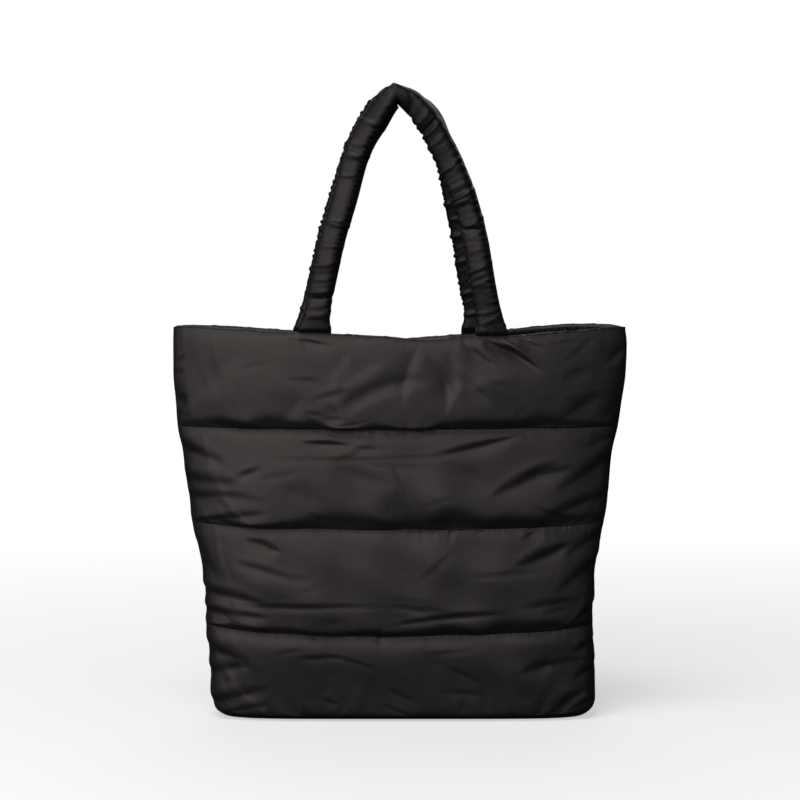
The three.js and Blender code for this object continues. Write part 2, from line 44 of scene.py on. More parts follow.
# Body, in metres
MOUTH_HALF = 0.230
BODY_HEIGHT = 0.398
MOUTH_DEPTH = 0.058
BASE_DEPTH = 0.090
CORNER_RADIUS = 0.021
HEEL_RADIUS = 0.014
BASE_HEIGHT = 0.006
BASE_PUFF = 0.003
OUTER_PUFF = 0.0115
INNER_PUFF = 0.004
INNER_HOLLOW = 0.0035  # how far the lining stands back below the thick rim
SEAM_THICKNESS = 0.003
RIM_THICKNESS = 0.008
RIM_ROUND = 0.002  # height of the rounding on top of the rim
HEEL_THICKNESS = 0.006
SIDE_REACH = 0.100
SIDE_FULLNESS = 0.3
SEAM_GAP = 0.0003
SIDE_OVERLAP = 0.0001  # how far each wall reaches past the middle at a side seam, which keeps it closed
SIDE_CLOSING = 0.008  # how far from a side seam the gap between the walls is open again
SAG = 0.0015  # how far a full channel hangs over the seam below it

# Trim
ROLL_RADIUS = 0.0014  # rolled edge along the rim
ROLL_INSET = 0.0012  # how far its middle lies inside the wall's face
ROLL_RISE = 0.0008  # how far its middle lies above the rim's edge
STITCH_PITCH = 0.00235
STITCH_LENGTH = 0.0017
STITCH_RADIUS = 0.00028
FACING_DROP = 0.0008
FACING_HEIGHT = 0.033
FACING_CLEARANCE = 0.0008
FACING_THICKNESS = 0.0007
GATHER_PITCH = 0.0085
GATHER_DEPTH = 0.0019

# Handles
HANDLE_DROP = 0.2335
SPREAD_HALF = 0.0885
HANDLE_WIDTH = 0.0245
HANDLE_DEPTH = 0.023
FOOT_WIDTH = 0.034
TAIL_LENGTH = 0.013
TAIL_THICKNESS = 0.0035
TAIL_SHARES = (0, 0.93)  # where the tail's stations lie, from its end to the foot
HANDLE_SQUARENESS = 3.3
FOOT_SQUARENESS = 4.0
HANDLE_TWIST = 0.3  # how far both tubes are turned to the left of straight ahead
FOLD_TURN = 0.25  # how much further the left leg is turned below the fold
HANDLE_SEAM_TURN = 0.5  # how far the sewn seam lies from the tube's side
HANDLE_GROOVE = 0.0009
GROOVE_WIDTH = 0.0013
CREASE_SHARE = 1.15
SMALL_CREASES = 30
GATHER_LIFT = 0.00075

# Fineness
FRONT, BACK = -1, 1
CHANNELS = 4
COLUMNS = 280
CHANNEL_ROWS = 56
INNER_SHARE = 4  # the outer skin is this many times as fine as the inner one
SIM_COLUMNS = 140
SIM_ROWS = 28
SECTION_STEPS = 160
LEVELS = np.linspace(0, BODY_HEIGHT, 241)
TURN_SHARE = 0.12
LEG_STATIONS = 190
HANDLE_SIDES = 40
AROUND_STEPS = 320
ROLL_SIDES = 10
LOOK_BACK, LOOK_AHEAD = 12, 7  # stations that give a tube's direction
FACING_ROWS = 12

# Settling of the cloth over its padding
SIM_PUFF = 0.92
SIM_QUALITY = 6
SIM_FRAMES = 18
SIM_MASS = 0.3
SIM_DAMPING = 2.0
SIM_STIFFNESS = 12
SIM_BENDING = 1.0
SIM_GROWTH = 0.002
SIM_PRESSURE = 3.0
SIM_GRAVITY = 0.3
SIM_REACH = 0.0025  # the furthest that a point may move

# Folds and puckers: how many there are beside each seam, and where they are deepest along the wall
FOLD_SHARE = 0.9
FINE_FOLDS = 44
PUCKERS = {0: 46, 1: 60, 2: 56, 3: 40, 4: 24}
PUCKER_CLUSTERS = {0: (0.045, 0.04), 1: (0.01, 0.06), 2: (0.06, 0.07), 3: (-0.02, 0.08), 4: (0.0, 0.3)}

# Studio, in metres
FLOOR_HALF = 30.0
FLOOR_FADE = 3.0  # where the floor has faded to white
LIGHT_AIM = (0, 0, 0.3)
CAMERA_RISE = math.radians(4)
CAMERA_DISTANCE = 2.6
CAMERA_TARGET = (0, 0, 0.321)
CAMERA_LENS, CAMERA_SENSOR = 115.2, 36  # in millimetres
Softbox = namedtuple("Softbox", "name place size power")
SOFTBOXES = [
    Softbox("key", (-1.05, -2.5, 1.4), (2.5, 2.0), 27),
    Softbox("top", (-0.5, -0.9, 2.6), (1.4, 0.8), 15),
    Softbox("left", (-2.3, -1.1, 0.9), (1.2, 1.6), 4.5),
    Softbox("right", (1.7, -2.0, 1.0), (1.4, 1.4), 2.6),
    Softbox("back", (0.0, 2.6, 1.5), (2.6, 1.6), 12),
]

# Cloth: its darker and lighter colour, roughness, depth of its crumples, gloss and how fine they are
Nylon = namedtuple("Nylon", "base light roughness crumple gloss finer")
NYLONS = {
    "black_nylon": Nylon((0.0125, 0.011, 0.0104), (0.0205, 0.0183, 0.0174), 0.49, 0.001, 0.8, 1.0),
    # The facing's darker colours are painted shade, standing in for the shade inside the mouth.
    "facing_nylon": Nylon((0.005, 0.0045, 0.0043), (0.011, 0.01, 0.0095), 0.5, 0.001, 0.3, 1.0),
    "handle_nylon": Nylon((0.009, 0.008, 0.0076), (0.017, 0.0153, 0.0146), 0.39, 0.0009, 0.42, 4.0),
}
THREAD_COLOR = (0.03, 0.027, 0.026)
WARP_RATE, WEFT_RATE = 390.0, 520.0
STREAK_RATES = (900.0, 34.0, 1.0)
CRUMPLE_RATES = (38.0, 38.0, 46.0)

# Seen from the front: half width at each height, as shares of half the mouth's width and of the body's height
Outline = namedtuple("Outline", "height left right")
OUTLINE = [
    Outline(0.0, 0.824, 0.858),
    Outline(0.15, 0.843, 0.857),
    Outline(0.235, 0.857, 0.852),
    Outline(0.3, 0.861, 0.857),
    Outline(0.36, 0.87, 0.861),
    Outline(0.43, 0.893, 0.881),
    Outline(0.5, 0.92, 0.902),
    Outline(0.56, 0.932, 0.918),
    Outline(0.62, 0.949, 0.927),
    Outline(0.68, 0.961, 0.938),
    Outline(0.74, 0.982, 0.962),
    Outline(0.8, 0.989, 0.977),
    Outline(0.88, 1.0, 0.996),
    Outline(0.95, 1.0, 1.0),
    Outline(1.0, 0.998, 0.99),
]

# Level sections: depth from the mouth's (0) to the base's (1), and how square the section is
Section = namedtuple("Section", "height depth squareness")
SECTIONS = [
    Section(0.0, 1.0, 5.0),
    Section(0.1, 1.0, 4.6),
    Section(0.25, 0.97, 4.0),
    Section(0.5, 0.75, 3.0),
    Section(0.75, 0.38, 2.3),
    Section(1.0, 0.0, 2.05),
]

# Height of each rim along its width
Rim = namedtuple("Rim", "across height")
RIMS = {
    FRONT: [
        Rim(-1.0, 0.9915),
        Rim(-0.96, 0.9965),
        Rim(-0.52, 0.985),
        Rim(-0.31, 0.98),
        Rim(-0.04, 0.972),
        Rim(0.07, 0.966),
        Rim(0.17, 0.967),
        Rim(0.25, 0.9745),
        Rim(0.48, 0.9745),
        Rim(0.61, 0.9815),
        Rim(0.81, 0.9885),
        Rim(0.94, 0.9955),
        Rim(1.0, 0.991),
    ],
    BACK: [
        Rim(-1.0, 0.9915),
        Rim(-0.95, 0.9975),
        Rim(-0.84, 0.996),
        Rim(-0.53, 0.984),
        Rim(-0.31, 0.972),
        Rim(-0.04, 0.959),
        Rim(0.07, 0.963),
        Rim(0.29, 0.973),
        Rim(0.47, 0.984),
        Rim(0.61, 0.993),
        Rim(0.78, 1.0),
        Rim(0.92, 0.9995),
        Rim(1.0, 0.991),
    ],
}

# Quilting seams from the top down: heights at the sides and in the middle
Seam = namedtuple("Seam", "side middle")
SEAMS = [
    Seam(0.742, 0.742),
    Seam(0.503, 0.487),
    Seam(0.248, 0.2195),
]

# How much of each channel's height tucks under above its lower seam, along the wall's width
Undercut = namedtuple("Undercut", "across first second third fourth")
UNDERCUTS = [
    Undercut(-1.0, 0.05, 0.05, 0.05, 0.05),
    Undercut(-0.6, 0.11, 0.05, 0.05, 0.05),
    Undercut(-0.38, 0.11, 0.14, 0.05, 0.05),
    Undercut(-0.28, 0.035, 0.17, 0.05, 0.05),
    Undercut(0.1, 0.035, 0.12, 0.07, 0.05),
    Undercut(0.2, 0.10, 0.15, 0.09, 0.05),
    Undercut(0.6, 0.11, 0.14, 0.11, 0.05),
    Undercut(1.0, 0.06, 0.06, 0.06, 0.05),
]

# Folds of the cloth, in millimetres seen from the front: ends from the bag's middle and above its base,
# how far the fold bows to its right, width and depth of its valley, and the ridge on its right as a share
Fold = namedtuple("Fold", "from_x from_z to_x to_z bow width depth ridge")
FOLDS = {
    FRONT: [
        # Top channel, from the right handle's foot and from the rim
        Fold(76, 386, 143, 351, -3, 4.0, 4.6, 0.9),
        Fold(97, 388, 130, 362, 2, 2.6, 2.6, 0.8),
        Fold(115, 388, 146, 373, 0, 2.6, 2.0, 0.6),
        Fold(62, 384, 97, 356, 2, 5.0, 2.4, 0.6),
        Fold(20, 380, 2, 318, 4, 7.0, 2.4, 0.3),
        Fold(28, 372, 62, 316, 0, 7.0, 2.6, 0.3),
        Fold(42, 352, 46, 310, -3, 5.0, 1.8, 0.3),
        Fold(54, 352, 92, 320, 0, 8.0, 2.4, 0.3),
        Fold(-16, 362, -62, 336, 4, 12.0, 2.4, 0.2),
        Fold(-96, 330, -120, 300, 0, 12.0, 1.8, 0.2),
        Fold(47, 376, 52, 324, -4, 6.0, 1.8, 0.4),
        Fold(-66, 312, 30, 346, -8, 11.0, 3.4, 0.1),
        Fold(-62, 301, 38, 338, -8, 7.0, -1.5, 0.0),
        Fold(40, 324, 120, 352, 0, 14.0, -2.6, 0.0),
        Fold(-160, 373, -208, 322, 0, 12.0, 2.4, 0.4),
        Fold(-212, 327, -226, 313, 0, 5.0, 2.6, 0.4),
        Fold(-50, 373, -76, 330, 3, 9.0, 1.4, 0.3),
        Fold(-118, 386, -66, 378, 0, 3.6, 2.6, 0.8),
        Fold(-234, 358, -212, 367, 0, 2.0, 1.4, 0.5),
        Fold(-234, 347, -212, 353, 0, 2.0, 1.4, 0.5),
        Fold(228, 375, 203, 356, 0, 5.0, 2.6, 0.6),
        Fold(158, 303, 204, 331, 0, 9.0, 2.4, 0.4),
        Fold(160, 344, 192, 353, 0, 8.0, 1.6, 0.3),
        Fold(-72, 324, -58, 298, 0, 5.0, 1.3, 0.4),
        # Second channel
        Fold(-102, 281, -46, 279, 0, 3.0, 2.6, 0.7),
        Fold(-48, 276, -18, 275, 0, 2.4, 1.3, 0.5),
        Fold(28, 268, 124, 290, 2, 4.0, 2.8, 0.8),
        Fold(-146, 267, 60, 269, 3, 1.9, 0.9, 0.5),
        Fold(-62, 261, 42, 254, -1, 2.0, 0.8, 0.4),
        Fold(-13, 268, 18, 213, -2, 2.0, 1.3, 0.5),
        Fold(-70, 262, -4, 240, 4, 15.0, 2.8, 0.1),
        Fold(-130, 238, -60, 212, -4, 14.0, 1.6, 0.1),
        Fold(40, 262, 96, 236, 0, 14.0, 1.8, 0.1),
        Fold(88, 226, 178, 256, -4, 6.0, 3.2, 0.7),
        Fold(118, 246, 162, 262, 0, 4.0, 1.7, 0.5),
        Fold(152, 229, 232, 276, 0, 7.0, 3.0, 0.5),
        Fold(138, 206, 222, 232, 0, 6.0, 2.6, 0.5),
        Fold(214, 284, 182, 273, 0, 4.0, 2.2, 0.4),
        Fold(-250, 282, -172, 259, 0, 7.0, 3.4, 0.6),
        Fold(-246, 248, -156, 240, 3, 7.0, 3.2, 0.6),
        Fold(-240, 222, -150, 229, 0, 6.0, 3.0, 0.6),
        Fold(-166, 245, -136, 256, 0, 3.0, 1.7, 0.6),
        Fold(-214, 200, -128, 213, 0, 4.0, 1.8, 0.5),
        # Third channel
        Fold(-156, 184, -118, 173, 0, 5.0, 2.6, 0.3),
        Fold(-168, 162, -108, 146, 0, 4.0, 1.8, 0.4),
        Fold(-216, 188, -180, 142, 0, 7.0, 2.4, 0.3),
        Fold(-228, 136, -130, 120, 0, 5.0, 3.0, 0.6),
        Fold(-222, 113, -128, 107, 0, 4.5, 2.8, 0.6),
        Fold(-182, 118, -8, 119, 1, 2.0, 1.7, 0.6),
        Fold(-22, 120, 64, 111, 0, 2.0, 1.3, 0.5),
        Fold(-10, 100, 114, 112, -2, 2.6, 2.2, 0.7),
        Fold(62, 147, 162, 154, 0, 2.0, 1.3, 0.5),
        Fold(112, 156, 174, 181, 2, 6.0, 3.8, 0.7),
        Fold(122, 184, 145, 198, 0, 4.0, 2.6, 0.6),
        Fold(160, 163, 228, 204, 0, 6.0, 2.6, 0.5),
        Fold(152, 128, 222, 176, 0, 7.0, 2.8, 0.5),
        Fold(118, 116, 182, 123, 0, 4.0, 1.7, 0.5),
        Fold(168, 98, 214, 126, 0, 5.0, 2.4, 0.5),
        # Lowest channel and its corners
        Fold(-216, 80, -146, 58, 0, 7.0, 3.0, 0.5),
        Fold(-212, 42, -150, 58, 0, 6.0, 3.0, 0.5),
        Fold(-206, 12, -130, 36, 0, 6.0, 3.0, 0.5),
        Fold(-174, 10, -130, 20, 0, 4.0, 2.2, 0.5),
        Fold(-106, 65, -53, 67, 0, 2.5, 1.1, 0.5),
        Fold(118, 49, 162, 62, 0, 6.0, 2.2, 0.5),
        Fold(143, 6, 187, 32, 0, 6.0, 3.2, 0.6),
        Fold(166, 10, 194, 22, 0, 4.0, 2.6, 0.5),
        Fold(170, 67, 198, 83, 0, 4.0, 2.4, 0.5),
        Fold(173, 42, 194, 54, 0, 4.0, 2.0, 0.5),
    ],
    BACK: [
        Fold(-125, 384, -70, 352, 3, 4.0, 3.4, 0.8),
        Fold(-98, 386, -60, 372, 0, 3.0, 2.2, 0.7),
        Fold(70, 384, 118, 330, -3, 7.0, 3.0, 0.6),
        Fold(-22, 374, 12, 310, 4, 9.0, 2.4, 0.4),
        Fold(160, 372, 206, 325, 0, 10.0, 2.6, 0.5),
        Fold(-226, 350, -190, 338, 0, 5.0, 2.6, 0.6),
        Fold(218, 268, 160, 255, 0, 6.0, 3.2, 0.7),
        Fold(214, 232, 168, 240, 0, 5.0, 2.6, 0.6),
        Fold(-214, 264, -118, 226, 4, 8.0, 3.0, 0.6),
        Fold(-210, 218, -160, 210, 0, 5.0, 2.6, 0.6),
        Fold(-48, 264, 82, 272, 2, 2.6, 1.6, 0.6),
        Fold(60, 214, 110, 240, 0, 5.0, 1.8, 0.5),
        Fold(198, 172, 138, 150, 0, 6.0, 3.0, 0.6),
        Fold(192, 128, 120, 118, 2, 3.0, 2.0, 0.6),
        Fold(-198, 160, -118, 130, -3, 7.0, 3.2, 0.7),
        Fold(-90, 112, 60, 116, 1, 2.2, 1.6, 0.6),
        Fold(-196, 108, -140, 104, 0, 5.0, 2.6, 0.6),
        Fold(190, 66, 136, 48, 0, 6.0, 2.8, 0.6),
        Fold(186, 18, 140, 34, 0, 5.0, 2.6, 0.6),
        Fold(-192, 68, -140, 36, 0, 6.0, 3.0, 0.6),
        Fold(-176, 10, -136, 22, 0, 4.0, 2.2, 0.5),
    ],
}

# Middle line of each handle: sideways places of its two legs, as shares of half the spread,
# at heights that run from the rim (0) to the top (1), where the legs meet in a sharp fold
Leg = namedtuple("Leg", "rise left right")
LEGS = {
    FRONT: [
        Leg(0.0, -0.97, 1.045),
        Leg(0.06, -0.946, 1.02),
        Leg(0.22, -0.863, 0.933),
        Leg(0.39, -0.762, 0.853),
        Leg(0.55, -0.632, 0.738),
        Leg(0.72, -0.508, 0.555),
        Leg(0.8, -0.418, 0.442),
        Leg(0.88, -0.282, 0.318),
        Leg(0.935, -0.186, 0.202),
        Leg(0.968, -0.115, 0.117),
        Leg(1.0, -0.053, -0.053),
    ],
    BACK: [
        Leg(0.0, -1.05, 0.9),
        Leg(0.06, -1.018, 0.893),
        Leg(0.22, -0.911, 0.813),
        Leg(0.39, -0.808, 0.744),
        Leg(0.55, -0.681, 0.652),
        Leg(0.72, -0.535, 0.55),
        Leg(0.8, -0.45, 0.447),
        Leg(0.88, -0.333, 0.356),
        Leg(0.92, -0.264, 0.276),
        Leg(1.0, -0.069, -0.069),
    ],
}

# A leg's section: flare from the tube's width (0) to the foot's (1), fullness from the tail's thickness (0)
# to the tube's depth (1), and how far it has turned from the wall (0) to face straight ahead (1)
LegSection = namedtuple("LegSection", "rise flare fullness turn")
LEG_SECTIONS = [
    LegSection(0.0, 1.0, 0.38, 0.0),
    LegSection(0.012, 0.9, 0.65, 0.0),
    LegSection(0.05, 0.36, 0.69, 0.2),
    LegSection(0.1, 0.08, 0.75, 0.7),
    LegSection(0.16, 0.0, 0.85, 1.0),
    LegSection(0.3, 0.0, 1.0, 1.0),
    LegSection(0.88, 0.0, 1.0, 1.0),
    LegSection(1.0, -0.6, 0.9, 1.0),
]

# Creases across the legs: height, depth, width and climb from the outer to the inner side in millimetres,
# and the side where the crease is deepest, from -1 on the outer side to 1 on the inner one
Crease = namedtuple("Crease", "rise depth width climb side")
CREASES = {
    (FRONT, "left"): [
        Crease(0.864, 1.7, 1.5, 3, 0.3),
        Crease(0.777, 0.9, 1.6, 5, -0.2),
        Crease(0.732, 1.6, 1.5, 6, 0.3),
        Crease(0.649, 0.9, 1.4, 6, -0.3),
        Crease(0.46, 1.8, 1.5, 6, 0.1),
        Crease(0.443, 1.2, 1.2, 4, 0.8),
        Crease(0.373, 0.6, 1.4, 6, -0.5),
        Crease(0.283, 1.2, 1.5, 7, -0.1),
        Crease(0.167, 1.4, 1.4, 6, -0.3),
        Crease(0.139, -1.8, 1.5, 6, 0.7),
        Crease(0.068, 0.9, 1.6, 8, 0.7),
    ],
    (FRONT, "right"): [
        Crease(0.963, -2.4, 1.4, -8, 0.2),
        Crease(0.897, 1.2, 1.4, -7, 0.3),
        Crease(0.862, -2.2, 1.4, -8, 0.0),
        Crease(0.846, 1.6, 1.3, -8, -0.1),
        Crease(0.798, 0.8, 1.5, -9, 0.2),
        Crease(0.695, 1.2, 1.4, -8, 0.3),
        Crease(0.617, 0.9, 1.5, -6, 0.2),
        Crease(0.575, 2.3, 1.6, -5, -0.2),
        Crease(0.555, 1.4, 1.2, -4, 0.3),
        Crease(0.455, 1.5, 1.4, -9, -0.6),
        Crease(0.44, -2.0, 1.4, 9, 0.5),
        Crease(0.275, 1.3, 1.4, -10, 0.0),
        Crease(0.217, 0.7, 1.3, -8, 0.3),
        Crease(0.062, 0.9, 1.6, -12, 0.0),
    ],
    (BACK, "left"): [
        Crease(0.08 + 0.085 * i, 0.8 + 0.4 * (i % 3), 1.5, -4, -0.6 * (-1) ** i) for i in range(11)
    ],
    (BACK, "right"): [
        Crease(0.92, 1.4, 1.5, -5, 0.0),
        Crease(0.8, 1.2, 1.5, -6, 0.3),
        Crease(0.66, 1.4, 1.5, -5, -0.3),
        Crease(0.546, 1.4, 1.5, -5, 0.6),
        Crease(0.48, 0.8, 1.4, -5, 0.5),
        Crease(0.41, 1.9, 1.5, -5, 0.6),
        Crease(0.3, 1.4, 1.5, -8, 0.6),
        Crease(0.17, 1.4, 1.5, -6, 0.6),
        Crease(0.077, 1.2, 1.5, -5, 0.6),
    ],
}

def table_value(rows, key, column, at):
    """A table's column at places between its rows, on a smooth curve that never swings past them."""
    x = np.array([getattr(row, key) for row in rows])
    y = np.array([getattr(row, column) for row in rows])
    grade = np.diff(y) / np.diff(x)
    slope = np.concatenate([grade[:1], np.zeros(len(grade) - 1), grade[-1:]])
    product = grade[:-1] * grade[1:]
    rising = product > 0
    slope[1:-1][rising] = 2 * product[rising] / (grade[:-1] + grade[1:])[rising]
    at = np.clip(at, x[0], x[-1])
    row = np.clip(np.searchsorted(x, at, side="right") - 1, 0, len(x) - 2)
    step = x[row + 1] - x[row]
    t = (at - x[row]) / step
    blend = t * t * (3 - 2 * t)
    bump = t * (1 - t) * step
    return y[row] * (1 - blend) + y[row + 1] * blend + bump * (slope[row] * (1 - t) - slope[row + 1] * t)


def mix(a, b, t):
    return a + (b - a) * t


def unit(vectors):
    """The same directions with length 1."""
    return vectors / np.linalg.norm(vectors, axis=-1, keepdims=True)


def signed_power(value, power):
    """A power of a number's size that keeps its sign, for sections between round and square."""
    return np.sign(value) * np.abs(value) ** power


def smooth(low, high, value):
    t = np.clip((value - low) / (high - low), 0, 1)
    return t * t * (3 - 2 * t)


def ripple(seed, at, length, parts=6):
    """Smooth noise about 0 along a line, whose waves are about a given length."""
    draw = np.random.default_rng(seed)
    rates = draw.uniform(0.5, 1.7, parts) * 2 * math.pi / length
    starts = draw.uniform(0, 2 * math.pi, parts)
    return sum(np.sin(at * rate + start) for rate, start in zip(rates, starts)) / math.sqrt(parts)


def round_inset(radius, height):
    """How far a round edge of a given radius stands in at a height above its lowest point."""
    below = np.maximum(radius - height, 0)
    return radius - np.sqrt(radius**2 - below**2)


def body_section(height):
    """Half widths, half depth and squareness of the walls' middle at heights."""
    share = height / BODY_HEIGHT
    inset = SEAM_THICKNESS / 2 + round_inset(CORNER_RADIUS, height)
    fill = table_value(SECTIONS, "height", "depth", share)
    return {
        "left": MOUTH_HALF * table_value(OUTLINE, "height", "left", share) - inset,
        "right": MOUTH_HALF * table_value(OUTLINE, "height", "right", share) - inset,
        "depth": mix(MOUTH_DEPTH, BASE_DEPTH, fill) / 2 - round_inset(HEEL_RADIUS, height),
        "square": table_value(SECTIONS, "height", "squareness", share),
    }


class WallMiddle:
    """Middle surface of a wall at every level, at places from -1 at the left side seam to 1 at the right."""

    NAMES = ("x", "out", "nx", "no", "full", "arc", "inset")

    def __init__(self, across):
        self.across = across
        self.fields = {name: np.zeros((len(LEVELS), len(across))) for name in self.NAMES}
        section = body_section(LEVELS)
        angle = np.linspace(0, math.pi / 2, SECTION_STEPS + 1)
        sine, cosine = np.sin(angle), np.maximum(np.cos(angle), 0)
        for sign, side, chosen in ((-1, "left", across < 0), (1, "right", across >= 0)):
            for level in range(len(LEVELS)):
                n = section["square"][level]
                width, depth = section[side][level], section["depth"][level]
                reach = (sine**n + cosine**n) ** (-1 / n)
                x, y = width * sine * reach, depth * cosine * reach
                passed = np.concatenate([[0], np.cumsum(np.hypot(np.diff(x), np.diff(y)))])
                turn = np.concatenate([[0], np.arctan2(-np.diff(y), np.diff(x)) / (math.pi / 2)])
                place = mix(passed / passed[-1], turn, TURN_SHARE)
                at = np.abs(across[chosen]) * place[-1]
                px, py, arc = (np.interp(at, place, values) for values in (x, y, passed))
                nx = (px / width) ** (n - 1) / width
                no = (np.maximum(py, 0) / depth) ** (n - 1) / depth
                nx, no = nx / np.hypot(nx, no), no / np.hypot(nx, no)
                inset = passed[-1] - arc
                full = np.sin(math.pi / 2 * np.minimum(inset / SIDE_REACH, 1)) * mix(SIDE_FULLNESS, 1, no)
                for name, value in zip(self.NAMES, (sign * px, py, sign * nx, no, full, sign * arc, inset)):
                    self.fields[name][level, chosen] = value

    def at(self, name, height):
        """A field at heights given for each column, as rows of columns."""
        place = np.clip(height / BODY_HEIGHT, 0, 1) * (len(LEVELS) - 1)
        low = np.minimum(place.astype(int), len(LEVELS) - 2)
        column = np.broadcast_to(np.arange(len(self.across)), height.shape)
        field = self.fields[name]
        return mix(field[low, column], field[low + 1, column], place - low)

    def seam_height(self, side, seam):
        """Height of the rim (0), of a quilting seam or of the base seam (4), for each column."""
        if seam == CHANNELS:
            return np.full(len(self.across), BASE_HEIGHT)
        if seam == 0:
            share = self.at("x", np.full(len(self.across), BODY_HEIGHT)) / MOUTH_HALF
            return BODY_HEIGHT * table_value(RIMS[side], "across", "height", share) - RIM_ROUND
        row = SEAMS[seam - 1]
        share = self.at("x", np.full(len(self.across), row.side * BODY_HEIGHT)) / MOUTH_HALF
        return BODY_HEIGHT * (row.side + (row.middle - row.side) * (1 - share**2))

    def heights(self, side, down):
        """Heights of all columns at places down the wall, from 0 at the rim to 4 at the base."""
        seams = np.array([self.seam_height(side, seam) for seam in range(CHANNELS + 1)])
        channel = np.minimum(down.astype(int), CHANNELS - 1)
        fall = (down - channel)[:, None]
        return mix(seams[channel], seams[channel + 1], fall)


def padding(fall):
    """Padding behind the lining down a channel, from 0 at its seams to 1 where it is fullest."""
    return np.maximum(np.sin(math.pi * fall**1.35), 0) ** 0.55


def outer_padding(channel, fall, undercut):
    """Padding behind the outer cloth: quick out of the upper seam, full, then tucked to the lower seam."""
    slow = np.sin(math.pi / 2 * np.minimum(fall / 0.8, 1))
    quick = 1 - np.exp(-fall / 0.04)
    rise = 0.42 * quick + 0.58 * slow
    low = 0.12 * quick + 0.68 * (1 - np.exp(-fall / 0.095)) - 0.5 * smooth(-0.1, 1.1, fall)
    t = (1 - fall) / undercut
    tuck = t / (1 + t**6) ** (1 / 6)
    return np.where(channel == CHANNELS - 1, low, rise) * tuck**0.9


def hang(fall):
    """How far a channel hangs down, most of all just above its lower seam."""
    return SAG * np.maximum(np.sin(math.pi * fall**8), 0)


def spaced(count):
    """Places down a channel, closer together beside its seams."""
    t = np.arange(count) / count
    return t - 0.6 * np.sin(2 * math.pi * t) / (2 * math.pi)


def places_down(count):
    """Places down the whole wall, from 0 at the rim to 4 at the base."""
    return np.append(np.concatenate([channel + spaced(count) for channel in range(CHANNELS)]), CHANNELS)


def edge_half(channel, fall, full):
    """Half thickness of the wall at its seams, between those above and below a place."""
    upper = np.where(channel == 0, mix(SEAM_THICKNESS, RIM_THICKNESS, full), SEAM_THICKNESS)
    lower = np.where(channel == CHANNELS - 1, HEEL_THICKNESS, SEAM_THICKNESS)
    return mix(upper, lower, fall) / 2


def fold_lift(folds, x, z):
    """How far the folds move the cloth out, or in where it is below 0, at points seen from the front."""
    lift = np.zeros_like(x)
    for fold in folds:
        dx, dz = (fold.to_x - fold.from_x) * MM, (fold.to_z - fold.from_z) * MM
        length = math.hypot(dx, dz)
        fx, fz = x - fold.from_x * MM, z - fold.from_z * MM
        along = (fx * dx + fz * dz) / length**2
        taper = np.sin(math.pi * np.clip(along, 0, 1)) ** 1.2
        beside = (fx * dz - fz * dx) / length - fold.bow * MM * 4 * along * (1 - along)
        u = beside / (fold.width * MM * (0.35 + 0.65 * taper))
        valley = np.exp(-np.abs(u / np.where(u > 0, 1.7, 0.75)) ** 1.6)
        ridge = np.exp(-(((u + 1.7) / 1.1) ** 2))
        lift += FOLD_SHARE * fold.depth * MM * taper * (0.45 * fold.ridge * ridge - valley)
    return lift


def pucker_lift(side, seam, x, distance):
    """Dents of the short puckers that run away from a seam, at points x and a distance from it."""
    draw = np.random.default_rng(40 + 10 * seam + (side == BACK))
    places = draw.uniform(-MOUTH_HALF, MOUTH_HALF, PUCKERS[seam])
    middle, spread = PUCKER_CLUSTERS[seam]
    lift = np.zeros_like(x)
    for place in places:
        near = 0.22 + 0.6 * np.exp(-(((place - middle) / spread) ** 2))
        width = draw.uniform(1.4, 3.0) * MM
        reach = draw.uniform(5, 12) * MM
        depth = draw.uniform(0.25, 0.7) * MM * near
        slant = draw.uniform(-0.35, 0.35)
        beside = (x - place - slant * distance) / (width * (1 + distance / reach))
        lift -= depth * np.exp(-(beside**2) - (distance / reach) ** 2)
    return lift


def fine_folds(side):
    """Many thin folds at chance places on a wall, most of them nearly level."""
    draw = np.random.default_rng(60 + (side == BACK))
    folds = []
    for _ in range(FINE_FOLDS):
        x, z = draw.uniform(-200, 200), draw.uniform(14, 380)
        half, tilt = draw.uniform(9, 34), draw.normal(0, 0.3)
        dx, dz = half * math.cos(tilt), half * math.sin(tilt)
        bow, width, depth = draw.uniform(-2, 2), draw.uniform(1.7, 3.0), draw.uniform(0.3, 0.9)
        folds.append(Fold(x - dx, z - dz, x + dx, z + dz, bow, width, depth, 0.7))
    return folds


